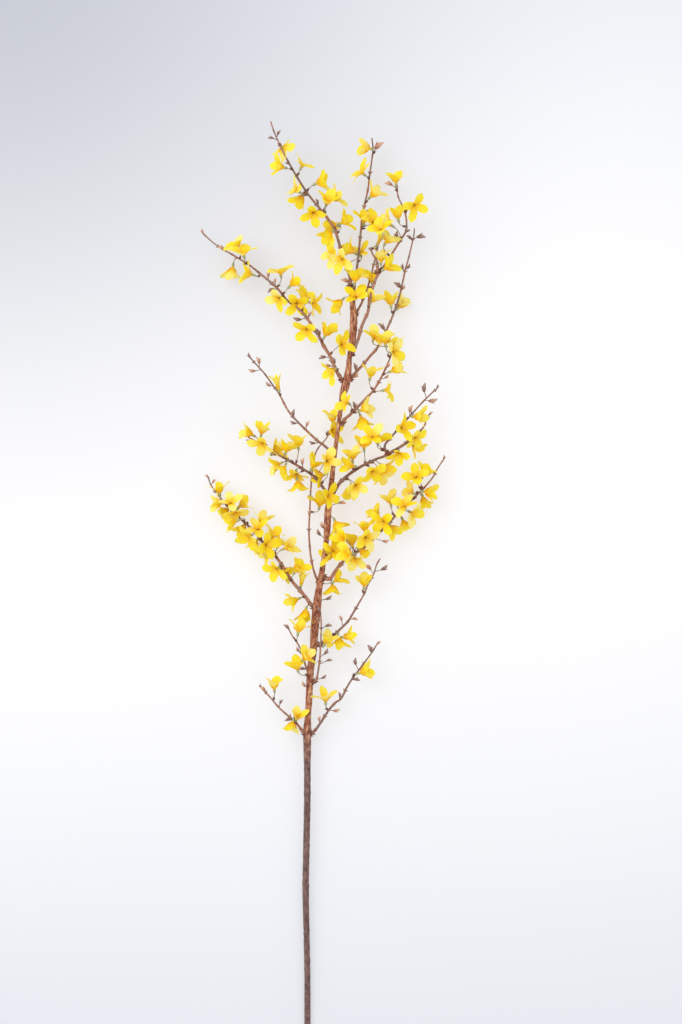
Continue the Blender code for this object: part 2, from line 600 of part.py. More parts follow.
def bud_mesh(line, x, y, size):
    """A pointed bud on a short stalk, rooted in the twig's line."""
    place = Vector((x, y, 0))
    near = nearest(line, place)
    back = near
    while back > 0 and (line[back] - line[near]).length < BUD_ROOT * size:
        back -= 1
    root = line[back]
    flat = (place - root).xy.length
    middle = Vector((x, y, root.z + 0.25 * flat))
    way = (middle - root).normalized()
    end = middle + (way + Vector((0, 0.25, 0.1))).normalized() * BUD_LENGTH * size
    shape = bmesh.new()
    radii = [BUD_STALK_RADIUS, BUD_RADIUS * size, BUD_STALK_RADIUS]
    tip = rings(shape, [root, middle, end], radii, THIN_SIDES)
    bmesh.ops.pointmerge(shape, verts=tip.verts[:], merge_co=end)
    return finished(shape)


def finished(shape):
    """A closed mesh in metres from a shape in the tables' millimetres."""
    bmesh.ops.recalc_face_normals(shape, faces=shape.faces)
    if shape.calc_volume(signed=True) < 0:
        bmesh.ops.reverse_faces(shape, faces=shape.faces)
    for corner in shape.verts:
        corner.co = world(corner.co)
    mesh = bpy.data.meshes.new("piece")
    shape.to_mesh(mesh)
    shape.free()
    return mesh


def apply_union(target, pieces):
    """Fuses pieces into an object with one Boolean on their collection, and removes them."""
    gathered = bpy.data.collections.new("repeats")
    bpy.context.scene.collection.children.link(gathered)
    for number, mesh in enumerate(pieces):
        add_object(f"repeat_{number}", mesh, gathered)
    joined = target.modifiers.new("union", "BOOLEAN")
    joined.operation = "UNION"
    joined.operand_type = "COLLECTION"
    joined.collection = gathered
    joined.solver = "MANIFOLD"
    bake(target)
    for piece in list(gathered.objects):
        bpy.data.objects.remove(piece)
    bpy.data.collections.remove(gathered)


def apply_cut(target, cutter):
    """Takes a cutter out of an object."""
    saddle = target.modifiers.new("saddle", "BOOLEAN")
    saddle.operation = "DIFFERENCE"
    saddle.object = cutter
    saddle.solver = "MANIFOLD"
    bake(target)


def bake(target):
    """Applies an object's modifiers."""
    bpy.context.view_layer.update()
    depsgraph = bpy.context.evaluated_depsgraph_get()
    mesh = bpy.data.meshes.new_from_object(target.evaluated_get(depsgraph))
    target.modifiers.clear()
    target.data = mesh


def bodies_of(shape):
    """The faces of each body of a mesh, the largest first, going across edges that two faces share."""
    left, bodies = set(shape.faces), []
    while left:
        start = left.pop()
        body, front = {start}, [start]
        while front:
            for link in front.pop().edges:
                if len(link.link_faces) == 2:
                    fresh = [f for f in link.link_faces if f not in body]
                    body.update(fresh)
                    front += fresh
        left -= body
        bodies.append(body)
    return sorted(bodies, key=len, reverse=True)


def clean(target):
    """Drops loose scraps, sealed hollows and needless corners. Tells whether one sound body is left."""
    shape = bmesh.new()
    shape.from_mesh(target.data)
    bmesh.ops.remove_doubles(shape, verts=shape.verts, dist=SAME_PLACE * MM)
    bmesh.ops.dissolve_degenerate(shape, edges=shape.edges[:], dist=WELD * MM)
    needless = [v for v in shape.verts if len(v.link_edges) == 2]
    bmesh.ops.dissolve_verts(shape, verts=needless)
    bmesh.ops.triangulate(shape, faces=shape.faces)
    bodies = bodies_of(shape)
    scraps = [face for body in bodies[1:] for face in body]
    bmesh.ops.delete(shape, geom=scraps, context="FACES")
    sound = all(len(edge.link_faces) == 2 for edge in shape.edges)
    shape.to_mesh(target.data)
    shape.free()
    return sound and len(scraps) < SCRAP_FACES


def fuse(target, pieces, cutter=None):
    """Fuses pieces into a tube and cuts it to the stem. Where faces coincide, they move a hair first."""
    draw = random.Random(target.name)
    wood = target.data
    for attempt in range(FUSE_TRIES):
        moved = [piece.copy() for piece in pieces]
        for piece in moved:
            shift = [draw.uniform(-HAIR, HAIR) * attempt * MM for _ in range(3)]
            piece.transform(Matrix.Translation(shift))
        target.data = wood.copy()
        apply_union(target, moved)
        if cutter:
            apply_cut(target, cutter)
        if clean(target):
            break


def cut_flat_spot(target):
    """Takes the underside of the stem off level with the surface, near its cut end."""
    shape = bmesh.new()
    shape.from_mesh(target.data)
    cut = bmesh.ops.bisect_plane(shape, geom=shape.verts[:] + shape.edges[:] + shape.faces[:],
                                 plane_co=(0, 0, 0), plane_no=(0, 0, -1), clear_outer=True)
    rim = [e for e in cut["geom_cut"] if isinstance(e, bmesh.types.BMEdge)]
    bmesh.ops.contextual_create(shape, geom=rim)
    bmesh.ops.recalc_face_normals(shape, faces=shape.faces)
    shape.to_mesh(target.data)
    shape.free()


def build():
    """The whole branch: the stem, and each spray cut to the stem where it grows from it."""
    for old in list(bpy.data.objects):
        bpy.data.objects.remove(old, do_unlink=True)
    branch = bpy.data.collections.new("forsythia_branch")
    cutters = bpy.data.collections.new("cutters")
    for collection in (branch, cutters):
        bpy.context.scene.collection.children.link(collection)
    bark = material("bark", BARK, 0.8)
    blossom = material("blossom_and_twig", PETAL_YELLOW, 0.6)

    stem_points = [Vector(row[:3]) for row in STEM]
    stem_radii = [row[3] for row in STEM]
    lines = {"main_stem": along(stem_points, stem_radii)}
    rows = {"main_stem": list(STEM_BLOOMS)}
    runs = {}
    for name, spray in SPRAYS.items():
        runs[name] = []
        lines[name] = []
        for run in spray["runs"]:
            points = smooth(run, TWIG_STEP)
            radii = taper(len(points), spray["base"], TWIG_TIP_RADIUS)
            runs[name].append((points, radii))
            lines[name] += along(points, radii)
        rows[name] = spray["blooms"]
    poses = place_blooms(lines, rows)

    stem = tube("main_stem", stem_points, stem_radii, STEM_SIDES_STEP, branch)
    end = (stem_points[-1] - stem_points[-2]).normalized()
    longer = stem_points[:-1] + [stem_points[-1] + end * JOINT_GAP]
    cutter = tube("stem_cutter", longer, [r + JOINT_GAP for r in stem_radii], STEM_SIDES_STEP, cutters)
    cutter.display_type = "WIRE"
    cutter.hide_render = True
    cut_flat_spot(stem)
    line = [p for p, r in lines["main_stem"]]
    pieces = [make(bloom) for bloom in poses["main_stem"] for make in (head_mesh, stalk_mesh)]
    pieces += [bud_mesh(line, *bud) for bud in STEM_BUDS]
    fuse(stem, pieces)
    stem.data.materials.clear()
    stem.data.materials.append(bark)

    for name, spray in SPRAYS.items():
        tubes = [tube(name, points, radii, TWIG_SIDES_STEP, branch) for points, radii in runs[name]]
        twig = tubes[0]
        pieces = []
        for extra in tubes[1:]:
            pieces.append(extra.data)
            bpy.data.objects.remove(extra)
        line = [p for p, r in lines[name]]
        pieces += [make(bloom) for bloom in poses[name] for make in (head_mesh, stalk_mesh)]
        pieces += [bud_mesh(line, *bud) for bud in spray["buds"]]
        fuse(twig, pieces, cutter)
        twig.data.materials.clear()
        twig.data.materials.append(blossom)
    bpy.data.objects.remove(cutter)


build()
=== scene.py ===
"""A cut forsythia branch in full flower, laid on a pale table and seen from straight above.

The sections follow the branch as it grows: the woody stem, the twigs, the places of the blooms, their
petals, their stalks, the buds, and last the table, the light and the camera. Lengths in the tables are
millimetres from the middle of the cut end: x to the right, y along the branch, z above the table.
"""

import random
from math import cos, radians, sin, tau

import bpy
import numpy as np
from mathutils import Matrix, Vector

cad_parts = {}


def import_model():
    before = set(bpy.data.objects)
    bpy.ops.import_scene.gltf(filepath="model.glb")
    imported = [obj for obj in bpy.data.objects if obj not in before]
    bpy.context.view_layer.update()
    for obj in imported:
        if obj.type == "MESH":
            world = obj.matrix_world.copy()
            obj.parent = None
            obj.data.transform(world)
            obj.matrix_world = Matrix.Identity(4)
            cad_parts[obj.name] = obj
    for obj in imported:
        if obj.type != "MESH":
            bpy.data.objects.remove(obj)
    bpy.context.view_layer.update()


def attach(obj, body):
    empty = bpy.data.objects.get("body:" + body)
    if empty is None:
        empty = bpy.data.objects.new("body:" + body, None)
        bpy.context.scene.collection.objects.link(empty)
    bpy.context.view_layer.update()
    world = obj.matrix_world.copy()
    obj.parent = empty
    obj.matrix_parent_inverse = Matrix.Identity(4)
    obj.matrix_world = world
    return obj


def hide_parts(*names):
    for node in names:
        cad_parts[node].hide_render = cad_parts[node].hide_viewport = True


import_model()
bpy.ops.object.select_all(action="DESELECT")


# MAIN STEM
# One woody shoot, about 8 mm thick and swollen where it branches. Its lower length is smooth and
# purple-brown, and above that the bark is rough, red-brown and flecked with pale lenticels. It was cut
# straight across at the lower end, and lies there on a small flat spot.

MM = 0.001
CENTRE_X = 19.25
CENTRE_Y = 550.63
TOUCHING = 0.00001

# x, y, z and radius along the stem
STEM = (
    (0, 0, 3.3, 3.8), (0, 30, 3.4, 3.8), (0, 74, 5.4, 3.7), (-1, 127, 8, 3.7), (-2, 178, 10, 4.0),
    (-1, 236, 12, 4.0), (0, 290, 14, 4.1), (0, 331, 15, 4.2), (0, 357, 16, 4.8), (0, 373, 17, 4.8),
    (1, 391, 18, 3.7), (2, 407, 18, 4.1), (4, 445, 20, 4.3), (7, 466, 21, 4.4), (9, 494, 23, 4.9),
    (12, 523, 25, 5.3), (14, 541, 26, 4.2), (18, 566, 27, 3.4), (22, 593, 28, 3.0),
    (24, 612, 29, 4.0), (25, 634, 30, 4.2), (28, 659, 31, 3.4), (33, 703, 33, 2.8),
    (40, 757, 35, 2.7), (43, 776, 36, 4.2), (47, 791, 36, 5.0), (50, 808, 37, 3.6),
    (51, 822, 37, 3.1), (54, 839, 38, 4.1), (56, 862, 39, 4.6), (55, 882, 40, 3.6),
    (52, 906, 41, 2.6),
)


def world(place):
    """A place in the tables, in metres from the middle of the branch's box."""
    return Vector((place[0] - CENTRE_X, place[1] - CENTRE_Y, place[2])) * MM


def smooth(points, step):
    """Points about a step apart on the Catmull-Rom curve through a list of points."""
    points = [Vector(p) for p in points]
    ends = [2 * points[0] - points[1]] + points + [2 * points[-1] - points[-2]]
    found = []
    for a, b, c, d in zip(ends, ends[1:], ends[2:], ends[3:]):
        parts = max(1, round((c - b).length / step))
        for i in range(parts):
            t = i / parts
            found.append(0.5 * (2 * b + (c - a) * t + (2 * a - 5 * b + 4 * c - d) * t ** 2
                                + (3 * b - a - 3 * c + d) * t ** 3))
    return found + [points[-1]]


def wood(name, line, round_step, relief, grain_size):
    """Wood along a line of (x, y, z, radius): a round path made a closed mesh, with uneven bark."""
    bpy.ops.curve.primitive_nurbs_path_add(location=(0, 0, 0))
    path = bpy.context.active_object.data
    path.splines.clear()
    run = path.splines.new("POLY")
    run.points.add(len(line) - 1)
    for point, (x, y, z, radius) in zip(run.points, line):
        point.co = (*world((x, y, z)), 1)
        point.radius = radius
    path.bevel_depth = MM
    path.bevel_resolution = round_step
    path.use_fill_caps = True
    bpy.ops.object.convert(target="MESH")
    piece = bpy.context.active_object
    piece.name = name
    piece.data.name = name
    bpy.ops.object.mode_set(mode="EDIT")
    bpy.ops.mesh.select_all(action="SELECT")
    bpy.ops.mesh.remove_doubles(threshold=TOUCHING)
    bpy.ops.mesh.normals_make_consistent(inside=False)
    bpy.ops.object.mode_set(mode="OBJECT")
    bpy.ops.object.shade_smooth()
    grain = bpy.data.textures.new(name + ".grain", "CLOUDS")
    grain.noise_scale = grain_size
    grain.noise_depth = 3
    bark = piece.modifiers.new("bark", "DISPLACE")
    bark.texture = grain
    bark.texture_coords = "LOCAL"
    bark.strength = relief
    bark.mid_level = 0.5
    bpy.ops.object.modifier_apply(modifier="bark")
    for corner in piece.data.vertices:
        corner.co.z = max(corner.co.z, 0)
    return piece


def colour(code):
    """A colour as a shader takes it, from its six hexadecimal digits."""
    parts = [int(code[i:i + 2], 16) / 255 for i in (0, 2, 4)]
    return [*(p / 12.92 if p < 0.04045 else ((p + 0.055) / 1.055) ** 2.4 for p in parts), 1]


class Value:
    """A value in a finish's nodes: an expression on values adds its Math nodes."""

    def __init__(self, tree, socket):
        self.tree = tree
        self.socket = socket

    def math(self, operation, first, second):
        node = self.tree.nodes.new("ShaderNodeMath")
        node.operation = operation
        plug(self.tree, node.inputs[0], first)
        plug(self.tree, node.inputs[1], second)
        return Value(self.tree, node.outputs[0])

    def __add__(self, other):
        return self.math("ADD", self, other)

    def __sub__(self, other):
        return self.math("SUBTRACT", self, other)

    def __rsub__(self, other):
        return self.math("SUBTRACT", other, self)

    def __mul__(self, other):
        return self.math("MULTIPLY", self, other)

    def __truediv__(self, other):
        return self.math("DIVIDE", self, other)

    def __rtruediv__(self, other):
        return self.math("DIVIDE", other, self)

    __radd__ = __add__
    __rmul__ = __mul__

    def sine(self):
        return self.math("SINE", self, 0)

    def beside(self, output):
        """Another output of the same node."""
        return Value(self.tree, self.socket.node.outputs[output])


def plug(tree, socket, value):
    """Links a value to a socket, or sets a plain number or colour on it."""
    if isinstance(value, Value):
        tree.links.new(value.socket, socket)
    else:
        socket.default_value = value


class Finish:
    """A procedural material in the making, with the shader that its nodes feed."""

    def __init__(self, name):
        self.material = bpy.data.materials.new(name)
        self.material.use_nodes = True
        self.tree = self.material.node_tree
        self.shader = self.tree.nodes["Principled BSDF"].inputs

    def node(self, kind, settings, values, output=0):
        """A node of a type, with its settings, a ramp's stops among them, and its sockets."""
        made = self.tree.nodes.new("ShaderNode" + kind)
        for name, value in settings.items():
            if name == "stops":
                ramp = made.color_ramp.elements
                ramp[0].position, ramp[0].color = value[0][0], colour(value[0][1])
                ramp[1].position, ramp[1].color = value[-1][0], colour(value[-1][1])
                for place, code in value[1:-1]:
                    ramp.new(place).color = colour(code)
            else:
                setattr(made, name, value)
        for key, value in values.items():
            plug(self.tree, made.inputs[key], value)
        return Value(self.tree, made.outputs[output])

    def mix(self, share, under, over):
        """One colour over another."""
        return self.node("Mix", {"data_type": "RGBA"}, {0: share, 6: under, 7: over}, 2)

    def between(self, value, low, high):
        """How far a value has come from one number to another, from 0 to 1 with soft ends."""
        return self.node("MapRange", {"interpolation_type": "SMOOTHSTEP"}, {0: value, 1: low, 2: high})

    def noise(self, spot, scale, detail, roughness=0.5):
        """Cloudy noise over a place."""
        return self.node("TexNoise", {}, {"Vector": spot, "Scale": scale, "Detail": detail,
                                          "Roughness": roughness})

    def ramp(self, value, *stops):
        """A colour that follows a value through its stops."""
        return self.node("ValToRGB", {"stops": stops}, {0: value})

    def flecks(self, spot, scale, edge, share):
        """Round flecks in some of the cells of a scattered pattern."""
        cells = self.node("TexVoronoi", {}, {"Vector": spot, "Scale": scale})
        lot = self.node("SeparateColor", {}, {0: cells.beside("Color")})
        return self.between(cells, edge, 0.2) * self.between(lot, share, share + 0.1)

    def shades(self):
        """The three numbers that a piece carries at its corners."""
        rows = self.node("Attribute", {"attribute_name": "shades"}, {}, "Vector")
        first = self.node("SeparateXYZ", {}, {0: rows}, "X")
        return first, first.beside("Y"), first.beside("Z")

    def feed(self, surface, height, depth, roughness):
        """Feeds the shader with a colour, a relief of some depth in metres and a roughness."""
        plug(self.tree, self.shader["Base Color"], surface)
        plug(self.tree, self.shader["Roughness"], roughness)
        relief = self.node("Bump", {}, {"Height": height, "Distance": depth, "Strength": 0.8})
        plug(self.tree, self.shader["Normal"], relief)


def fix(piece, node, finish):
    """Gives a piece its finish and lets it stand for its part of the branch."""
    piece.data.materials.clear()
    piece.data.materials.append(finish.material)
    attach(piece, "root")
    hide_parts(node)


STEM_STEP = 2.0
STEM_ROUND = 10
STEM_RELIEF = 0.0011
STEM_GRAIN = 0.004
BARK_TURN = -0.188
CUT_FACE = -0.5500

bark = Finish("stem_bark")
spot = bark.node("TexCoord", {}, {}, "Object")
painted_sheen_facing = bark.node("SeparateXYZ", {}, {0: spot.beside("Normal")}, "X")
along_stem = bark.node("SeparateXYZ", {}, {0: spot}, "Y")
drawn_out = bark.node("VectorMath", {"operation": "MULTIPLY"}, {0: spot, 1: (1, 0.16, 1)})
streaks = bark.noise(drawn_out, 620, 6, 0.7)
blotches = bark.noise(spot, 150, 4, 0.6)
squat = bark.node("VectorMath", {"operation": "MULTIPLY"}, {0: spot, 1: (1, 0.55, 1)})
flecks = bark.flecks(squat, 420, 0.34, 0.5)
tone = streaks * 0.62 + blotches * 0.38
rough = bark.between(along_stem + blotches * 0.05, BARK_TURN - 0.012, BARK_TURN + 0.055)
upper = bark.ramp(tone, (0.4, "532A20"), (0.455, "8B4C38"), (0.5, "A7674C"), (0.55, "BF8664"),
                  (0.61, "E0BD98"))
lower = bark.ramp(tone, (0.4, "402A2B"), (0.46, "604343"), (0.53, "74524D"), (0.62, "8E6F65"))
# Painted sheen: the lower stem's side that faces left, toward the key lamp, is mixed toward pale
# grey-olive.
lower = bark.mix(bark.between(painted_sheen_facing, -0.35, -0.95) * 0.4, lower, colour("7C7A6A"))
skin = bark.mix(rough, lower, upper)
skin = bark.mix(flecks * (0.25 + rough * 0.6), skin, colour("D9A884"))
rings = bark.noise(spot, 900, 3)
pith = bark.mix(rings, colour("C9B285"), colour("E3D3AC"))
skin = bark.mix(bark.between(along_stem, CUT_FACE, CUT_FACE - 0.0004), skin, pith)
bark.feed(skin, streaks + flecks * 0.5, 0.0009, 0.62 + rough * 0.22)

stem_line = smooth(STEM, STEM_STEP)
stem = wood("main_stem.bark", stem_line, STEM_ROUND, STEM_RELIEF, STEM_GRAIN)
fix(stem, "main_stem", bark)


# TWIGS
# The leafless side shoots, 1.5 to 5 mm thick, grow from the stem's joints and thin out to their tips.
# A knot of old red-brown scales sits round each joint, and pairs of small resting buds stand along the
# twig, each pair across the one below it. The bark is grey to pinkish brown.

TWIG_STEP = 24.0
TWIG_TIP_RADIUS = 0.8
LINE_STEP = 3.0
FINE_STEP = 2.5
TWIG_ROUND = 2
TWIG_RELIEF = 0.0003
TWIG_GRAIN = 0.0025
JOINT_SPACING = 8
JOINT_SWELLING = 0.32
SCALE_LENGTH = 3.0
SCALE_RADIUS = 0.72
SCALE_DEPTH = 0.6
SCALE_BOW = 0.3
SCALE_LEAN = 38
SCALE_STRAY = 12
SCALE_SIZES = (0.7, 1.25)
SCALE_REDNESS = 0.6
KNOT_SCALES = 11
KNOT_LENGTH = 5.0
KNOT_RADIUS = 1.08
KNOT_DEPTH = 0.7
KNOT_BOW = 0.5
KNOT_RISE = (0.1, 1)
KNOT_SPLAY = (0.4, 0.9)
KNOT_SIZES = (0.6, 1.1)

# Each spray: the runs of its wood, its base radius, its blooms as (x, y, way that the bloom turns in
# the plane of the branch, lean above that plane, how far the petals open) and its buds as (x, y, size)
OPEN = 66
HALF = 42
SHUT = 14
SPRAYS = {
    "leader_spray_top_left": dict(
        runs=[[(52, 903, 41), (51, 919, 43), (43, 941, 46), (34, 971, 49), (22, 990, 51), (0, 1017, 53),
            (-23, 1055, 54), (-37, 1084, 55), (-43, 1101, 56)]],
        base=2.0,
        blooms=[(-29, 1069, 300, -42, OPEN), (-34, 1046, 172, 12, HALF), (-4, 1050, 62, 28, OPEN),
            (-15, 1019, 158, 24, OPEN), (-8, 1007, 245, -28, HALF), (18, 1030, 25, 12, HALF),
            (36, 1012, 32, 14, HALF), (24, 1005, 80, 35, HALF), (7, 990, 250, 62, OPEN),
            (48, 983, 22, 16, HALF), (30, 981, 160, -30, HALF), (24, 966, 215, 8, HALF),
            (43, 936, 240, 76, OPEN), (31, 944, 165, 50, OPEN), (50, 950, 150, 20, HALF),
            (58, 918, 84, 12, HALF)],
        buds=[(-43, 1082, 1.0), (-34, 1088, 1.0), (-23, 1052, 0.8), (-3, 1015, 1.3), (13, 1007, 0.9),
            (46, 914, 1.4), (58, 917, 1.3)],
    ),
    "top_centre_spray": dict(
        runs=[[(55, 896, 40), (58, 915, 34), (61, 938, 30), (65, 977, 27), (67, 996, 27), (73, 1023, 29),
            (75, 1039, 30), (79, 1069, 32), (78, 1085, 33)]],
        base=1.7,
        blooms=[(70, 1074, 158, 32, HALF), (64, 1044, 146, 26, OPEN), (81, 1020, 48, 22, HALF),
            (69, 990, 84, 30, HALF), (79, 981, 20, 58, OPEN), (64, 951, 100, 34, OPEN)],
        buds=[(85, 1077, 1.9), (73, 998, 0.8)],
    ),
    "top_right_spray": dict(
        runs=[[(53, 823, 37), (61, 842, 42), (66, 859, 46), (73, 875, 49), (75, 889, 50), (82, 913, 52),
            (92, 929, 52), (111, 959, 50), (118, 971, 49), (119, 984, 47), (116, 998, 46), (109, 1013, 46),
            (108, 1027, 46)], [(85, 919, 52), (83, 936, 55), (79, 942, 56), (75, 951, 57)]],
        base=2.1,
        blooms=[(107, 1036, 86, 12, HALF), (130, 1000, 318, 54, OPEN), (107, 992, 104, 14, HALF),
            (94, 980, 150, 20, HALF), (86, 970, 140, 58, OPEN), (97, 962, 60, 30, HALF),
            (88, 941, 92, 12, HALF), (99, 929, 28, 18, HALF), (80, 892, 60, -24, HALF)],
        buds=[(98, 1029, 1.4), (106, 966, 1.4), (121, 972, 0.8)],
    ),
    "hidden_top_spray": dict(
        runs=[[(56, 869, 39), (65, 886, 31), (70, 898, 27), (74, 910, 24), (78, 925, 21), (80, 934, 20),
            (86, 959, 20)]],
        base=1.5,
        blooms=[(77, 919, 100, 20, HALF), (88, 968, 70, 10, SHUT)],
        buds=[(66, 893, 0.8), (74, 897, 0.8)],
    ),
    "thin_right_spray": dict(
        runs=[[(50, 793, 36), (58, 803, 33), (67, 813, 30), (77, 825, 28), (84, 833, 27), (93, 850, 26),
            (103, 872, 27), (112, 899, 28), (118, 927, 29), (122, 941, 30), (128, 967, 31),
            (129, 977, 31)]],
        base=1.8,
        blooms=[(100, 892, 96, 10, HALF), (115, 889, 48, 12, HALF)],
        buds=[(137, 968, 1.6), (123, 967, 1.1), (114, 931, 1.0), (123, 931, 1.0), (110, 910, 1.6),
            (117, 906, 0.9), (59, 811, 1.3), (60, 799, 1.0)],
    ),
    "right_spray": dict(
        runs=[[(41, 739, 34), (45, 747, 36), (51, 752, 38), (59, 760, 41), (66, 767, 43), (80, 782, 46),
            (90, 799, 48), (96, 812, 49), (101, 825, 50), (102, 837, 50)]],
        base=2.0,
        blooms=[(80, 844, 75, 54, OPEN), (92, 842, 100, 22, HALF), (105, 838, 84, 18, HALF),
            (104, 825, 350, 58, OPEN), (108, 806, 18, 12, HALF), (77, 804, 78, 16, HALF),
            (98, 782, 8, 12, OPEN), (47, 767, 150, 55, OPEN), (71, 760, 22, 30, HALF),
            (67, 743, 290, 12, HALF)],
        buds=[(90, 858, 1.5), (96, 797, 0.9), (98, 811, 1.0), (58, 764, 1.3)],
    ),
    "upper_left_spray": dict(
        runs=[[(44, 792, 36), (36, 804, 38), (27, 824, 39), (20, 835, 39), (13, 849, 38), (-2, 871, 36),
            (-13, 882, 35), (-26, 892, 34), (-35, 904, 32), (-58, 924, 29), (-71, 934, 28), (-92, 947, 26),
            (-103, 953, 26), (-115, 962, 25), (-126, 972, 24)]],
        base=2.2,
        blooms=[(-87, 958, 122, 16, HALF), (-76, 947, 100, 34, OPEN), (-91, 925, 262, 4, HALF),
            (-73, 924, 160, 2, HALF), (-32, 925, 98, 26, OPEN), (-15, 913, 48, 12, HALF),
            (-35, 892, 200, 58, OPEN), (-13, 886, 270, 76, OPEN), (-4, 897, 82, 24, HALF),
            (8, 885, 340, 48, OPEN), (0, 853, 268, 66, OPEN), (25, 853, 62, 20, HALF),
            (42, 836, 20, 68, OPEN), (28, 803, 215, 40, HALF)],
        buds=[(-103, 955, 1.3), (-47, 922, 1.1), (-39, 914, 0.9), (-44, 903, 1.3), (-12, 866, 1.4),
            (3, 874, 1.1), (15, 852, 1.1), (18, 822, 1.3), (33, 818, 1.2), (24, 812, 1.2),
            (-127, 974, 0.9)],
    ),
    "bare_left_spray": dict(
        runs=[[(32, 704, 33), (29, 708, 35), (19, 717, 39), (13, 721, 41), (-1, 734, 44), (-13, 746, 45),
            (-23, 758, 45), (-33, 777, 44), (-41, 788, 43), (-51, 802, 42), (-61, 813, 41),
            (-68, 821, 40)]],
        base=1.6,
        blooms=[(-36, 792, 105, 14, SHUT)],
        buds=[(-57, 818, 1.3), (-66, 804, 1.2), (-47, 788, 1.1), (-17, 755, 1.2), (-17, 742, 1.1),
            (0, 742, 1.1), (6, 718, 1.1), (-70, 823, 1.0)],
    ),
    "left_spray": dict(
        runs=[[(27, 654, 31), (18, 667, 35), (8, 679, 37), (-7, 689, 37), (-19, 696, 36), (-29, 702, 34),
            (-44, 710, 31), (-61, 721, 28), (-71, 726, 26)]],
        base=1.9,
        blooms=[(-72, 732, 152, 16, HALF), (-54, 737, 82, 16, HALF), (-53, 717, 250, 60, OPEN),
            (-37, 711, 40, 40, HALF), (-22, 714, 64, 20, HALF), (-10, 721, 90, 12, HALF),
            (-39, 691, 205, 12, HALF), (-29, 684, 246, 14, HALF), (-13, 679, 270, 30, OPEN),
            (-10, 666, 280, 6, HALF), (8, 696, 72, 22, HALF), (24, 697, 30, 66, OPEN),
            (13, 678, 200, 40, HALF)],
        buds=[(-6, 697, 1.1), (-70, 721, 1.0)],
    ),
    "behind_stem_spray": dict(
        runs=[[(15, 548, 26), (9, 562, 23), (5, 578, 20), (3, 595, 17), (2, 614, 15), (3, 637, 14),
            (4, 659, 14), (6, 684, 14), (9, 703, 14), (13, 713, 14), (23, 725, 14), (29, 737, 15)]],
        base=1.3,
        blooms=[(31, 752, 88, 10, HALF), (31, 731, 340, 12, HALF), (16, 650, 80, 30, HALF)],
        buds=[(2, 636, 1.0)],
    ),
    "right_forked_spray": dict(
        runs=[[(28, 647, 31), (30, 654, 33), (35, 664, 37), (41, 673, 40), (53, 683, 43), (64, 690, 44),
            (82, 699, 45), (94, 704, 45), (93, 715, 44), (96, 720, 44), (102, 727, 44), (119, 746, 43),
            (137, 766, 42), (149, 778, 41), (156, 784, 40)], [(94, 704, 45), (102, 708, 43), (118, 718, 39),
            (126, 724, 37), (140, 738, 34), (143, 746, 33), (147, 754, 32)]],
        base=2.1,
        blooms=[(54, 706, 95, 18, HALF), (67, 718, 100, 24, HALF), (78, 725, 110, 60, OPEN),
            (90, 726, 60, 18, HALF), (114, 737, 20, 60, OPEN), (133, 749, 352, 30, HALF),
            (131, 724, 330, 52, OPEN), (110, 706, 285, 66, OPEN), (133, 713, 330, 14, HALF),
            (49, 691, 175, 24, HALF), (78, 683, 280, 60, OPEN), (91, 678, 296, 26, HALF),
            (98, 688, 330, -24, HALF), (59, 666, 300, 58, OPEN), (49, 659, 250, 12, HALF)],
        buds=[(139, 785, 1.6), (151, 768, 1.6), (123, 760, 1.3), (157, 786, 0.8), (148, 755, 0.9)],
    ),
    "big_right_spray": dict(
        runs=[[(19, 560, 27), (22, 556, 27), (28, 556, 28), (34, 565, 29), (45, 578, 29), (55, 585, 29),
            (72, 596, 28), (89, 613, 27), (108, 633, 25), (125, 650, 23), (138, 662, 22), (151, 677, 20),
            (157, 688, 19), (165, 700, 18)]],
        base=2.3,
        blooms=[(131, 679, 100, 62, OPEN), (143, 686, 62, 20, HALF), (121, 663, 148, 16, HALF),
            (148, 659, 350, 14, HALF), (143, 648, 296, 4, HALF), (100, 653, 96, 16, HALF),
            (81, 636, 132, 18, HALF), (91, 624, 210, 66, OPEN), (104, 613, 300, 8, HALF),
            (116, 644, 120, 60, OPEN), (127, 634, 330, 48, OPEN), (118, 619, 290, 8, HALF),
            (70, 620, 92, 16, HALF), (69, 607, 120, 55, OPEN), (54, 603, 96, 18, HALF),
            (43, 604, 160, 22, HALF), (48, 588, 170, 50, HALF), (58, 579, 280, 58, OPEN),
            (69, 586, 320, 14, HALF)],
        buds=[(109, 645, 0.9), (95, 600, 1.1), (66, 604, 0.9), (166, 702, 0.8)],
    ),
    "big_left_spray": dict(
        runs=[[(11, 520, 25), (5, 524, 26), (-2, 534, 27), (-10, 543, 27), (-19, 554, 27), (-31, 573, 26),
            (-43, 589, 25), (-53, 599, 24), (-65, 614, 23), (-72, 620, 22), (-84, 631, 21), (-94, 640, 20),
            (-107, 656, 18), (-116, 668, 17), (-120, 679, 16)]],
        base=2.3,
        blooms=[(-106, 666, 95, 20, HALF), (-110, 647, 178, 12, HALF), (-101, 635, 218, 2, HALF),
            (-92, 648, 100, 60, OPEN), (-77, 648, 50, 20, HALF), (-84, 634, 300, 70, OPEN),
            (-91, 622, 204, 14, HALF), (-79, 615, 240, 36, HALF), (-55, 629, 84, -16, HALF),
            (-60, 616, 120, 62, OPEN), (-70, 606, 210, 50, OPEN), (-66, 596, 228, 8, HALF),
            (-38, 611, 62, 20, HALF), (-48, 596, 330, 66, OPEN), (-32, 600, 60, 50, OPEN),
            (-20, 595, 22, 12, HALF), (-52, 585, 200, 12, HALF), (-37, 568, 210, 66, OPEN),
            (-24, 564, 340, 30, HALF), (-10, 571, 58, 16, HALF), (-4, 557, 70, 20, SHUT),
            (-18, 529, 200, 20, HALF), (-4, 512, 250, 10, HALF)],
        buds=[(-121, 680, 0.8), (-113, 674, 0.9)],
    ),
    "lower_right_spray": dict(
        runs=[[(10, 474, 21), (17, 478, 21), (28, 484, 22), (41, 496, 24), (49, 504, 25), (54, 512, 25),
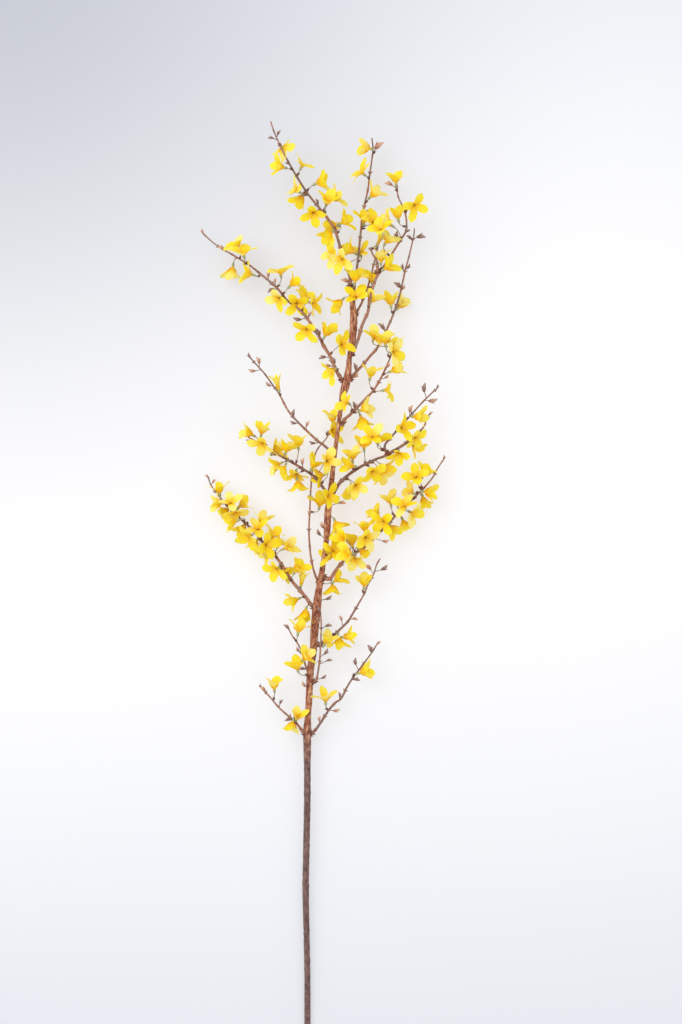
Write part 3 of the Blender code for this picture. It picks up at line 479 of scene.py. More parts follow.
            (61, 524, 26), (69, 538, 26), (73, 548, 26), (80, 561, 25), (84, 573, 24), (88, 580, 24)]],
        base=1.6,
        blooms=[(70, 554, 80, 20, HALF), (23, 485, 76, 34, HALF), (40, 479, 290, 30, HALF),
            (51, 485, 0, 12, HALF)],
        buds=[(74, 571, 1.4), (94, 568, 1.4), (41, 509, 1.0), (58, 508, 1.0)],
    ),
    "bud_twig_by_stem": dict(
        runs=[[(6, 430, 20), (11, 434, 25), (13, 443, 29), (15, 456, 32), (16, 470, 34), (17, 493, 36),
            (17, 505, 37), (16, 517, 38)]],
        base=1.4,
        blooms=[],
        buds=[(26, 501, 1.2), (24, 468, 1.2), (27, 459, 1.0), (21, 437, 1.0), (15, 520, 1.0),
            (13, 508, 0.8)],
    ),
    "lower_left_twig": dict(
        runs=[[(3, 438, 20), (-2, 451, 23), (-5, 463, 25), (-9, 473, 26), (-14, 482, 27), (-18, 487, 27),
            (-23, 497, 27)]],
        base=1.3,
        blooms=[(-10, 499, 84, 16, HALF), (-14, 453, 110, 24, HALF), (0, 463, 40, 50, HALF)],
        buds=[(-24, 499, 1.2), (-12, 470, 1.0), (-6, 448, 1.1)],
    ),
    "lowest_left_spray": dict(
        runs=[[(-1, 367, 17), (-6, 372, 18), (-14, 382, 19), (-23, 390, 20), (-34, 400, 21), (-45, 413, 21),
            (-51, 419, 21), (-56, 424, 20)]],
        base=1.7,
        blooms=[(-40, 430, 94, 18, HALF), (-18, 376, 262, 12, HALF), (-12, 391, 80, 40, HALF)],
        buds=[(-53, 424, 1.2), (-32, 408, 1.0), (-24, 386, 1.0), (-57, 426, 0.8)],
    ),
    "lowest_right_spray": dict(
        runs=[[(2, 366, 17), (10, 373, 19), (17, 383, 20), (26, 397, 21), (34, 406, 22), (41, 411, 22),
            (47, 423, 22), (55, 436, 22), (62, 445, 22), (71, 457, 22), (79, 468, 21), (85, 478, 20)]],
        base=1.7,
        blooms=[(22, 415, 92, 16, HALF), (71, 444, 14, 14, HALF)],
        buds=[(77, 472, 1.5), (57, 456, 1.3), (60, 435, 1.2), (40, 416, 1.0), (36, 396, 1.2),
            (14, 387, 1.0), (86, 479, 0.9)],
    ),
}


def turned(name, sides, rings):
    """A round template: a disc drawn up ring by ring, each ring at a (height, radius)."""
    height, radius = rings[0]
    bpy.ops.mesh.primitive_circle_add(vertices=sides, radius=radius, fill_type="NGON",
                                      location=(0, 0, 0))
    piece = bpy.context.active_object
    piece.name = name
    bpy.ops.object.mode_set(mode="EDIT")
    bpy.ops.mesh.select_all(action="SELECT")
    for higher, wider in rings[1:]:
        rise = (0, 0, higher - height)
        bpy.ops.mesh.extrude_region_move(TRANSFORM_OT_translate={"value": rise})
        bpy.ops.transform.resize(value=(wider / radius, wider / radius, 1))
        height, radius = higher, wider
    bpy.ops.mesh.select_all(action="SELECT")
    bpy.ops.mesh.normals_make_consistent(inside=False)
    bpy.ops.object.mode_set(mode="OBJECT")
    bpy.ops.object.shade_smooth()
    piece.select_set(False)
    return piece


def corners_of(template):
    """The corners of a template, as rows of x, y and z."""
    found = np.zeros(len(template.data.vertices) * 3)
    template.data.vertices.foreach_get("co", found)
    return found.reshape(-1, 3)


def copy_of(template, places, shades=None):
    """A copy of a template with its own mesh, its corners at new places in the tables' millimetres.
    Shades are three numbers a corner, which the finish reads."""
    mesh = template.data.copy()
    metres = (places - np.array((CENTRE_X, CENTRE_Y, 0))) * MM
    metres[:, 2] = metres[:, 2].clip(0)
    mesh.vertices.foreach_set("co", metres.ravel())
    if shades is not None:
        layer = mesh.attributes.new("shades", "FLOAT_VECTOR", "POINT")
        layer.data.foreach_set("vector", shades.ravel())
    return bpy.data.objects.new(template.name, mesh)


def joined(name, first, copies, also=()):
    """One piece made of many: the copies, and the pieces that they are joined to if there are any."""
    bpy.ops.object.select_all(action="DESELECT")
    for copy in copies:
        bpy.context.scene.collection.objects.link(copy)
    for piece in (*copies, *also):
        piece.select_set(True)
    target = first or copies[0]
    target.select_set(True)
    bpy.context.view_layer.objects.active = target
    if len(copies) > (0 if first else 1):
        bpy.ops.object.join()
    target.name = name
    target.data.name = name
    target.select_set(False)
    return target


def bent(flat, start, middle, end, radius):
    """Places of a round template that follows a bent line, its z running along the line."""
    a, b, c = (np.array(p) for p in (start, middle, end))
    t = flat[:, 2:3]
    place = (1 - t) ** 2 * a + 2 * (1 - t) * t * b + t ** 2 * c
    way = (1 - t) * (b - a) + t * (c - b)
    way /= np.linalg.norm(way, axis=1, keepdims=True) + 1e-9
    reference = np.eye(3)[np.abs(c - a).argmin()]
    side = np.cross(way, reference)
    side /= np.linalg.norm(side, axis=1, keepdims=True) + 1e-9
    other = np.cross(way, side)
    return place + radius * (flat[:, 0:1] * side + flat[:, 1:2] * other)


def taper(count, base, tip):
    """Radii of a twig's points, thinning out along it."""
    return [base + (tip - base) * i / (count - 1) for i in range(count)]


def frame_on(axis):
    """Two directions across an axis, at right angles to each other."""
    side = axis.cross(Vector((0, 0, 1)))
    if side.length < 0.1:
        side = axis.cross(Vector((0, 1, 0)))
    side.normalize()
    return side, axis.cross(side).normalized()


def outward(axis, angle):
    """The direction across an axis that lies at an angle round it."""
    side, other = frame_on(axis)
    return side * cos(angle) + other * sin(angle)


def shades_for(flat, across, along, tint):
    """Three numbers for each corner of a template, which its finish reads."""
    rows = np.zeros((len(flat), 3))
    rows[:, 0], rows[:, 1], rows[:, 2] = across, along, tint
    return rows


twig_bark = Finish("twig_bark")
spot = twig_bark.node("TexCoord", {}, {}, "Object")
grain = twig_bark.noise(spot, 900, 5, 0.65)
blotches = twig_bark.noise(spot, 60, 3)
flecks = twig_bark.flecks(spot, 620, 0.36, 0.6)
brown = twig_bark.ramp(grain, (0.36, "74473A"), (0.46, "9B6754"), (0.56, "BB8870"), (0.68, "D9AF96"))
grey = twig_bark.ramp(grain, (0.38, "6B5A56"), (0.5, "917D78"), (0.64, "B3A19A"))
skin = twig_bark.mix(twig_bark.between(blotches, 0.5, 0.62) * 0.75, brown, grey)
lengths = twig_bark.noise(spot, 10, 1)
skin = twig_bark.mix(twig_bark.between(lengths, 0.5, 0.6) * 0.45, skin, colour("5C4648"))
skin = twig_bark.mix(flecks * 0.45, skin, colour("D8B498"))
husk = twig_bark.ramp(grain, (0.4, "5A2E22"), (0.5, "7E4532"), (0.62, "A9705A"))
redness = twig_bark.shades()[2]
skin = twig_bark.mix(redness * 0.85, skin, husk)
twig_bark.feed(skin, grain + flecks * 0.4, 0.0004, 0.78)

resting_bud = turned("resting_bud", 5, ((0, 0.8), (0.3, 1.0), (0.65, 0.72), (1, 0.12)))
flat_scale = corners_of(resting_bud)
knot_shades = shades_for(flat_scale, 1, 1, 1)
scale_shades = knot_shades * SCALE_REDNESS
draw = random.Random(3)
for name, spray in SPRAYS.items():
    lengths = []
    scales = []
    for number, run in enumerate(spray["runs"]):
        points = smooth(run, FINE_STEP)
        radii = taper(len(points), spray["base"], TWIG_TIP_RADIUS)
        way = (points[2] - points[0]).normalized()
        for k in range(KNOT_SCALES):
            out = outward(way, tau * k / KNOT_SCALES)
            root = points[0].lerp(points[2], draw.random()) + out * radii[0] * KNOT_DEPTH
            up = (way * draw.uniform(*KNOT_RISE) + out * draw.uniform(*KNOT_SPLAY)).normalized()
            tip = root + up * KNOT_LENGTH * draw.uniform(*KNOT_SIZES)
            places = bent(flat_scale, root, root.lerp(tip, 0.5) + out * KNOT_BOW, tip, KNOT_RADIUS)
            scales.append(copy_of(resting_bud, places, knot_shades))
        for i in range(JOINT_SPACING // 2 + number, len(points) - 1, JOINT_SPACING):
            radii[i] *= 1 + JOINT_SWELLING
            radii[i - 1] *= 1 + JOINT_SWELLING / 3
            way = (points[i + 1] - points[i]).normalized()
            across = frame_on(way)[0 if i // JOINT_SPACING % 2 else 1]
            lean = radians(SCALE_LEAN + draw.uniform(-SCALE_STRAY, SCALE_STRAY))
            for out in (across, -across):
                root = points[i] + out * radii[i] * SCALE_DEPTH
                up = way * cos(lean) + out * sin(lean)
                tip = root + up * SCALE_LENGTH * draw.uniform(*SCALE_SIZES)
                places = bent(flat_scale, root, root.lerp(tip, 0.5) + out * SCALE_BOW, tip, SCALE_RADIUS)
                scales.append(copy_of(resting_bud, places, scale_shades))
        line = [(*p, r) for p, r in zip(points, radii)]
        lengths.append(wood(f"{name}.run_{number}", line, TWIG_ROUND, TWIG_RELIEF, TWIG_GRAIN))
    fix(joined(f"{name}.twig", lengths[0], scales, lengths[1:]), name, twig_bark)


# PLACES OF THE BLOOMS
# Each bloom hangs from its twig or from the stem on its own thin stalk, turned its own way. In a crowd
# the blooms lean, lift and roll until they pass each other, and the lowest ones rest on the table.

TUBE_LENGTH = 6.0
THROAT_RADIUS = 2.0
CALYX_RADIUS = 1.3
PETAL_LENGTH = 17.5
PETAL_WIDTH = 10.0
PETAL_THICKNESS = 0.8
SHOULDER = 0.6
CURL = 20.0
RISE = 11.0
ROOT_SLIP = 3.0
ROOT_SPREAD = 0.2
LEAN_LIMITS = (-60, 85)
MIDDLE_AHEAD = 0.45
BLOOM_LIFT = 2.0
FOLDED_WIDTH = 0.45
BLOOM_GAP = 0.9
GROUND_GAP = 1.0
REACH = 60.0
WOOD_ROOM = 0.4
PETAL_ROOM = (3.0, 4.0, 2.6)
THROAT_ROOM = 2.4
BASE_ROOM = 1.8
STALK_ROOM = 1.0
LONG_STALK = 16.0
COSTS = dict(theirs=12, own=2.5, ground=40, lift=0.25, tilt=0.08, stalk=0.5)
LIFTS = (0, 5, -5, 10, -10, 15, -14, 20, 26)
TILTS = (0, 14, -14, 28, -26, 42)
ROLLS = (0, 30, 60)

# What grows straight from the main stem
STEM_BLOOMS = (
    (36, 884, 224, 4, HALF), (60, 893, 60, 64, OPEN),
    (27, 655, 340, 56, OPEN), (36, 618, 290, 10, HALF), (24, 584, 170, 18, HALF),
    (33, 590, 30, 56, OPEN), (40, 556, 25, 14, HALF), (31, 541, 275, 14, HALF),
)
STEM_BUDS = (
    (-5, 428, 1.1), (17, 620, 1.2),
    (13, 611, 1.2), (27, 532, 1.2), (43, 648, 1.2), (42, 698, 1.2),
)
# The blooms whose lowest petal comes down to the surface, so that the branch lies steady
RESTING = {(-101, 635), (143, 648), (-91, 925), (115, 889)}


def along(points, radii):
    """Points about LINE_STEP apart on the straight runs between a tube's points, with its radii there."""
    found = []
    for a, b, r, s in zip(points, points[1:], radii, radii[1:]):
        parts = max(1, round((b - a).length / LINE_STEP))
        found += [(a.lerp(b, i / parts), r + (s - r) * i / parts) for i in range(parts)]
    return found + [(points[-1], radii[-1])]


def direction(turn, lean):
    """The unit vector for a turn in the branch's plane and a lean above it, in degrees."""
    turn, lean = radians(turn), radians(lean)
    return Vector((cos(turn) * cos(lean), sin(turn) * cos(lean), sin(lean)))


def nearest(points, place):
    """The number of the point nearest to a place, seen from above."""
    return min(range(len(points)), key=lambda i: (points[i].xy - place.xy).length)


def before(line, place, slip, first):
    """The point that lies a slip before a line's nearest point to a place, so that a stalk slants."""
    near = back = nearest(line, place)
    while back > first and (line[back] - line[near]).length < slip:
        back -= 1
    return line[back]


def petal_spines(bloom):
    """For each petal its stations from throat to tip, its direction across and its two tops."""
    throat = bloom["base"] + bloom["axis"] * TUBE_LENGTH
    petals = []
    for k in range(4):
        out = outward(bloom["axis"], radians(bloom["roll"] + 90 * k + 45))
        across = bloom["axis"].cross(out)
        length = bloom["lengths"][k]
        station = throat + out * THROAT_RADIUS
        stations, tops = [station], []
        for share, curl in ((SHOULDER, 0), (1 - SHOULDER, CURL)):
            lean = radians(bloom["opening"] + bloom["leans"][k] + curl)
            way = bloom["axis"] * cos(lean) + out * sin(lean)
            station = station + way * length * share
            stations.append(station)
            tops.append(way.cross(across))
        petals.append((stations, across, tops))
    return petals


def width_of(bloom):
    """A bloom's petal width: a closed bloom's petals are still folded narrow."""
    return bloom["width"] * (FOLDED_WIDTH if bloom["opening"] <= SHUT else 1.0)


def lowest(bloom):
    """Height of a bloom's lowest corner."""
    found = []
    for stations, across, tops in petal_spines(bloom):
        for station, top, width in zip(stations[1:], tops, (width_of(bloom), 0)):
            found.append(station.z - abs(across.z) * width / 2 - abs(top.z) * PETAL_THICKNESS / 2)
    return min(found + [bloom["base"].z - CALYX_RADIUS])


def room_of(bloom):
    """Balls that fill a bloom, as rows of x, y, z and radius."""
    balls = []
    for stations, across, tops in petal_spines(bloom):
        start, shoulder, tip = stations
        for place, radius in zip((start.lerp(shoulder, 0.5), shoulder, tip), PETAL_ROOM):
            balls.append((*place, radius))
    throat = bloom["base"] + bloom["axis"] * TUBE_LENGTH
    balls.append((*throat, THROAT_ROOM))
    balls.append((*bloom["base"], BASE_ROOM))
    balls.append((*bloom["root"].lerp(bloom["base"], 0.5), STALK_ROOM))
    return np.array(balls)


def pose(line, row, draws, lift, tilt, roll):
    """A bloom of the table on a twig's line, lifted, tilted and rolled from its usual place."""
    x, y, turn, lean, opening = row
    axis = direction(turn, max(LEAN_LIMITS[0], min(LEAN_LIMITS[1], lean + tilt)))
    ahead = MIDDLE_AHEAD * PETAL_LENGTH * cos(radians(opening))
    place = Vector((x, y, 0)) - axis * ahead
    near = nearest(line, place)
    place.z = line[near].z + RISE * sin(radians(lean)) + BLOOM_LIFT + lift
    base = place - axis * TUBE_LENGTH
    root = before(line, base, ROOT_SLIP, 1) + Vector(draws["spread"])
    return dict(root=root, base=base, axis=axis, roll=draws["roll"] + roll, opening=opening,
                lengths=draws["lengths"], leans=draws["leans"], width=draws["width"])


def within(balls, centre):
    """The balls within reach of a place, seen from above."""
    return balls[np.linalg.norm(balls[:, :2] - centre, axis=1) < REACH]


def crowding(balls, others):
    """How deep balls lie in others, in all, with the usual gap between them."""
    if not len(others):
        return 0.0
    apart = np.linalg.norm(balls[:, None, :3] - others[None, :, :3], axis=2)
    deep = balls[:, None, 3] + others[None, :, 3] + BLOOM_GAP - apart
    return float(deep.clip(0).sum())


def place_blooms(lines, rows, seed=11):
    """Poses of all blooms. Each takes the lift, tilt and roll that cross its neighbours least."""
    draw = random.Random(seed)
    twigs = {name: np.array([(*p, r + WOOD_ROOM) for p, r in line]) for name, line in lines.items()}
    order = [(name, row) for name in rows for row in rows[name]]
    placed = {}
    for name, row in order:
        size = draw.uniform(0.9, 1.08)
        draws = dict(roll=draw.uniform(0, 90), width=PETAL_WIDTH * size,
                     lengths=[PETAL_LENGTH * size * draw.uniform(0.9, 1.08) for _ in range(4)],
                     leans=[draw.uniform(-7, 9) for _ in range(4)],
                     spread=[draw.uniform(-ROOT_SPREAD, ROOT_SPREAD) for _ in range(3)])
        line = [p for p, r in lines[name]]
        resting = (row[0], row[1]) in RESTING
        best = None
        centre = np.array(row[:2])
        theirs = [within(balls, centre) for other, balls in twigs.items() if other != name]
        theirs += [balls for (other, _), (_, balls) in placed.items() if other != name]
        theirs = within(np.concatenate(theirs), centre)
        own = [balls for (other, _), (_, balls) in placed.items() if other == name]
        own = within(np.concatenate(own + [np.zeros((0, 4))]), centre)
        for lift in LIFTS:
            for tilt in TILTS:
                for roll in ROLLS:
                    bloom = pose(line, row, draws, lift, tilt, roll)
                    if resting:
                        bloom["base"].z -= lowest(bloom)
                    balls = room_of(bloom)
                    cost = COSTS["theirs"] * crowding(balls, theirs) + COSTS["own"] * crowding(balls, own)
                    if not resting:
                        cost += COSTS["ground"] * max(0, GROUND_GAP - lowest(bloom))
                    cost += COSTS["lift"] * abs(lift) + COSTS["tilt"] * abs(tilt)
                    stalk = (bloom["base"] - bloom["root"]).length
                    cost += COSTS["stalk"] * max(0, stalk - LONG_STALK)
                    if best is None or cost < best[0]:
                        best = (cost, bloom, balls)
        placed[(name, row)] = best[1:]
    poses = {name: [] for name in rows}
    for (name, row), (bloom, balls) in placed.items():
        poses[name].append(bloom)
    return poses


stem_points = [Vector(row[:3]) for row in STEM]
lines = {"main_stem": along(stem_points, [row[3] for row in STEM])}
rows = {"main_stem": list(STEM_BLOOMS)}
for name, spray in SPRAYS.items():
    lines[name] = []
    for run in spray["runs"]:
        points = smooth(run, TWIG_STEP)
        lines[name] += along(points, taper(len(points), spray["base"], TWIG_TIP_RADIUS))
    rows[name] = spray["blooms"]
blooms = place_blooms(lines, rows)


# PETALS AND THROATS
# A bloom is one thin yellow flower tube that opens into four long petals. Each petal is a soft blade
# with raised edges near the throat, fine veins and a rounded, slightly rolled tip. The throat is orange
# and holds two small stamens.

PETAL_PROFILE = ((0, 0.56), (0.17, 0.8), (0.36, 0.96), (0.55, 1.0), (0.74, 0.95), (0.87, 0.8),
                 (1, 0.52))
TIP_ROUNDING = 0.1
PETAL_ROWS = 6
PETAL_COLUMNS = 4
PETAL_BLADE = 0.36
PETAL_CUP = 1.8
PETAL_WAVE = 0.8
PETAL_TWIST = 32
PETAL_FULLNESS = (1.02, 1.22)
PETAL_BOW = 1.5
PETAL_STATIONS = 41
PETAL_SINK = 0.3
PETAL_INSET = 0.2
CURL_START = 0.25
CURL_RANGE = (0.5, 2.375)
CURL_POWER = 1.3
THROAT_LEAN = 5
FOLDED_CUP = 3.2
CUP_END = 1.15
CUP_RANGE = (0.5, 1.3)
WAVE_RANGE = (0.4, 1.4)
WAVE_TURNS = 1.1
EDGE_THINNING = 0.45
PETAL_STRAY = (-16, 9)
FOLDED_STRAY = (-4, 4)
NOD = 0.55
NOD_SPREAD = 0.2
NOD_TURN = 0.3
TINT_STRAY = 0.12
TUBE_SIDES = 8
STAMEN_LENGTH = 2.3
STAMEN_WIDTH = 1.1
STAMEN_ASIDE = 0.75
STAMEN_DEPTH = 1.2
STAMEN_SPLAY = 0.15


def blade(name, columns, rows, profile):
    """A thin leaf-like template: a grid drawn in row by row, then given a thickness of 1."""
    bpy.ops.mesh.primitive_grid_add(x_subdivisions=columns, y_subdivisions=rows, size=1,
                                    location=(0, 0, 0))
    piece = bpy.context.active_object
    piece.name = name
    bpy.ops.object.mode_set(mode="EDIT")
    bpy.ops.mesh.select_mode(type="VERT")
    bpy.ops.mesh.select_all(action="DESELECT")
    bpy.ops.object.mode_set(mode="OBJECT")
    for level in sorted({round(corner.co.y, 4) for corner in piece.data.vertices}):
        for corner in piece.data.vertices:
            corner.select = abs(corner.co.y - level) < 0.01
        width = np.interp(level + 0.5, *zip(*profile))
        bpy.ops.object.mode_set(mode="EDIT")
        bpy.ops.transform.resize(value=(width, 1, 1))
        bpy.ops.mesh.select_all(action="DESELECT")
        bpy.ops.object.mode_set(mode="OBJECT")
    wall = piece.modifiers.new("wall", "SOLIDIFY")
    wall.thickness = 1
    wall.offset = 0
    bpy.ops.object.modifier_apply(modifier="wall")
    bpy.ops.object.shade_smooth_by_angle(angle=radians(60))
    piece.select_set(False)
    return piece


def face_of(bloom, draw):
    """The way that a bloom faces: its tube's, nodding aside where the tube stands upright."""
    axis = bloom["axis"]
    aside = Vector([v + draw.uniform(-NOD_TURN, NOD_TURN) for v in axis.xy] + [0])
    stray = Vector([draw.uniform(-NOD_SPREAD, NOD_SPREAD) for i in range(3)])
    return (axis + aside.normalized() * NOD * max(axis.z, 0) + stray).normalized()


def petal_places(flat, bloom, face, throat, k, draw):
    """Places of a petal's corners: along its curled line, cupped, twisted and waved."""
    side = frame_on(bloom["axis"])[0]
    side = (side - face * side.dot(face)).normalized()
    angle = radians(bloom["roll"] + 90 * k + 45)
    out = side * cos(angle) + face.cross(side) * sin(angle)
    across, axis, out = np.array(face.cross(out)), np.array(face), np.array(out)
    folded = bloom["opening"] <= SHUT
    shares = (flat[:, 1] + 0.5).clip(0, 1)
    edge = flat[:, 0] * 2 / np.interp(shares, *zip(*PETAL_PROFILE))
    shares = shares - TIP_ROUNDING * edge ** 2 * shares ** 4
    fine = np.linspace(0, 1, PETAL_STATIONS)
    late = ((fine - CURL_START) / (1 - CURL_START)).clip(0, 1)
    curl = CURL * draw.uniform(*CURL_RANGE) * late ** CURL_POWER - THROAT_LEAN * (1 - late)
    stray = draw.uniform(*(FOLDED_STRAY if folded else PETAL_STRAY))
    lean = np.radians(bloom["opening"] + bloom["leans"][k] + stray + curl)[:, None]
    ways = np.cos(lean) * axis + np.sin(lean) * out
    walk = np.cumsum((ways[1:] + ways[:-1]) / 2, axis=0) * bloom["lengths"][k] / (PETAL_STATIONS - 1)
    walk = np.concatenate([np.zeros((1, 3)), walk])
    walk += np.array(throat) - axis * PETAL_SINK + out * (THROAT_RADIUS - PETAL_INSET)
    place = np.stack([np.interp(shares, fine, walk[:, i]) for i in range(3)], axis=1)
    way = np.stack([np.interp(shares, fine, ways[:, i]) for i in range(3)], axis=1)
    shares = shares[:, None]
    spread = flat[:, 0:1] * 2
    top = np.cross(way, across)
    twist = np.radians(draw.uniform(-PETAL_TWIST, PETAL_TWIST)) * shares
    over = -across * np.cos(twist) + top * np.sin(twist)
    top = np.cross(over, way)
    top /= np.linalg.norm(top, axis=1, keepdims=True)
    cup = (FOLDED_CUP if folded else PETAL_CUP * draw.uniform(*CUP_RANGE)) * (1 - CUP_END * shares)
    wave = PETAL_WAVE * draw.uniform(*WAVE_RANGE) * spread * shares
    wave *= np.sin(draw.uniform(0, tau) + shares * tau * WAVE_TURNS)
    lift = cup * spread ** 2 + wave + flat[:, 2:3] * PETAL_BLADE * (1 - EDGE_THINNING * spread ** 2)
    width = width_of(bloom) / 2 * draw.uniform(*PETAL_FULLNESS)
    bow = draw.uniform(-PETAL_BOW, PETAL_BOW) * shares ** 2
    return place + over * (spread * width + bow) + top * lift


petal = blade("petal", PETAL_COLUMNS, PETAL_ROWS, PETAL_PROFILE)
tube = turned("tube", TUBE_SIDES, ((0, 0.95), (0.3, 1.2), (0.65, 1.6), (0.9, 2.2), (0.99, 2.75),
                                   (1, 2.4), (0.78, 1.35), (0.4, 0.85)))
# The tube's inner rings take the lowest numbers, so its inside darkens to amber-brown towards the bottom:
# painted shade deep in the tube.
tube_along = np.repeat((-1, -0.72, -0.35, -0.1, 0, -0.03, -1.75, -2), TUBE_SIDES)
bpy.ops.mesh.primitive_uv_sphere_add(segments=6, ring_count=4, radius=0.5, location=(0, 0, 0))
stamen = bpy.context.active_object
bpy.ops.object.shade_smooth()
stamen.select_set(False)

yellow = Finish("petal_yellow")
across, out_along, tint = yellow.shades()
spot = yellow.node("TexCoord", {}, {}, "Object")
mottle = yellow.noise(spot, 240, 3, 0.55)
# The darkest stops, at 0 and 0.1, fall on the tube's inner rings: painted shade deep in the tube. The stops
# above are the flower's own orange and yellows.
gold = yellow.ramp((out_along + 2) / 3, (0, "8A4E0A"), (0.1, "C4800E"), (0.17, "E8A616"),
                   (0.34, "CFC860"), (0.52, "F2D222"), (0.66, "F6B400"), (0.74, "FFCE00"),
                   (0.84, "FFE400"), (1, "FFEB34"))
veins = (across * 17 + mottle * 3).sine() * 0.5 + 0.5
fade = yellow.between(out_along, 0, 0.12) * (1 - out_along * 0.6)
deep = yellow.mix(veins * fade * 0.2, gold, colour("F0AA00"))
deep = yellow.mix(yellow.between(mottle, 0.42, 0.66) * 0.3, deep, colour("FFCC00"))
light = yellow.mix(yellow.between(tint, 0.62, 1) * yellow.between(out_along, 0.1, 0.6) * 0.6, deep,
                   colour("FFF19A"))
tips = yellow.between(out_along, 0.78, 1) * yellow.between((tint * 61).sine(), 0.45, 0.95)
yellow.feed(yellow.mix(tips * 0.55, light, colour("CFD24C")), veins * 0.6 + mottle * 0.6, 0.00022,
            0.46 + mottle * 0.14)
yellow.shader["Subsurface Weight"].default_value = 0.3
yellow.shader["Subsurface Radius"].default_value = (1, 0.62, 0.08)
yellow.shader["Subsurface Scale"].default_value = 0.003

flat_petal = corners_of(petal)
petal_across = flat_petal[:, 0] * 2
petal_along = (flat_petal[:, 1] + 0.5).clip(0, 1)
flat_tube = corners_of(tube)
flat_stamen = corners_of(stamen) + (0, 0, 0.5)
stamen_shades = shades_for(flat_stamen, -1.5, -1.5, -1.5)
draw = random.Random(5)
for name, own in blooms.items():
    copies = []
    for bloom in own:
        tint_here = draw.random()
        face = face_of(bloom, draw)
        start = bloom["base"]
        middle = start + bloom["axis"] * TUBE_LENGTH * 0.5
        throat = middle + face * TUBE_LENGTH * 0.5
        places = bent(flat_tube, start, middle, throat, 1)
        copies.append(copy_of(tube, places, shades_for(flat_tube, 0, tube_along, tint_here)))
        for k in range(4):
            places = petal_places(flat_petal, bloom, face, throat, k, draw)
            own_tint = (tint_here + draw.uniform(-TINT_STRAY, TINT_STRAY)) % 1
            numbers = shades_for(flat_petal, petal_across, petal_along, own_tint)
            copies.append(copy_of(petal, places, numbers))
        aside = outward(face, radians(bloom["roll"]))
        for way in (-1, 1):
            low = throat + aside * way * STAMEN_ASIDE - face * STAMEN_DEPTH
            high = low + face * STAMEN_LENGTH + aside * way * STAMEN_SPLAY
            places = bent(flat_stamen, low, low.lerp(high, 0.5), high, STAMEN_WIDTH)
            copies.append(copy_of(stamen, places, stamen_shades))
    if copies:
        fix(joined(f"{name}.petals", None, copies), name, yellow)
for template in (petal, tube, stamen):
    bpy.data.objects.remove(template)


# STALKS AND CALYXES
# Each bloom's thin stalk comes out of a few red-brown bud scales on the wood, and widens into a small
# grey-green calyx, whose four lobes clasp the foot of the flower tube.

STALK_THICKNESS = 0.58
STALK_OVERLAP = 0.6
LOBE_LENGTH = 4.6
LOBE_WIDTH = 2.5
LOBE_FLARE = 0.75
LOBE_CUP = 0.3
LOBE_BLADE = 0.3
LOBE_CLASP = CALYX_RADIUS - 0.1
LOBE_TURN = 10
LOBE_SIZES = (0.85, 1.15)
HUSK_LENGTH = 4.2
HUSK_WIDTH = 2.7
HUSK_CLASP = 0.8
HUSK_FLARE = 0.9
HUSK_TURN = 0.4
HUSK_SIZES = (0.7, 1.3)
HUSK_FEET = (0.4, 1.6)
HUSKS = 4


def lobe_places(flat, base, axis, out, length, width, clasp, flare):
    """Places of a small lobe that clasps a stalk or a tube and flares at its tip."""
    axis, out, base = (np.array(v) for v in (axis, out, base))
    across = np.cross(axis, out)
    share = flat[:, 1:2] + 0.5
    spread = flat[:, 0:1] * 2
    reach = clasp + flare * share ** 2 - LOBE_CUP * spread ** 2 + flat[:, 2:3] * LOBE_BLADE
    return base + axis * share * length + out * reach + across * spread * width / 2


stalk = turned("stalk", 6, ((0, 1.35), (0.1, 1.0), (0.4, 0.85), (0.75, 1.0), (1, 1.7)))
lobe = blade("lobe", 2, 3, ((0, 0.75), (0.34, 1), (0.67, 0.72), (1, 0.1)))
green = Finish("stalk_and_calyx")
edge, height, _ = green.shades()
spot = green.node("TexCoord", {}, {}, "Object")
grain = green.noise(spot, 700, 4, 0.6)
surface = green.ramp((height + 0.3) / 1.3 + (grain - 0.5) * 0.12, (0, "6F3B2C"), (0.18, "8E5644"),
                     (0.24, "A8765F"), (0.5, "A98F7C"), (0.72, "9DA480"), (1, "AEBB90"))
surface = green.mix(edge * edge * 0.45, surface, colour("8C6A5C"))
green.feed(surface, grain, 0.0002, 0.6)

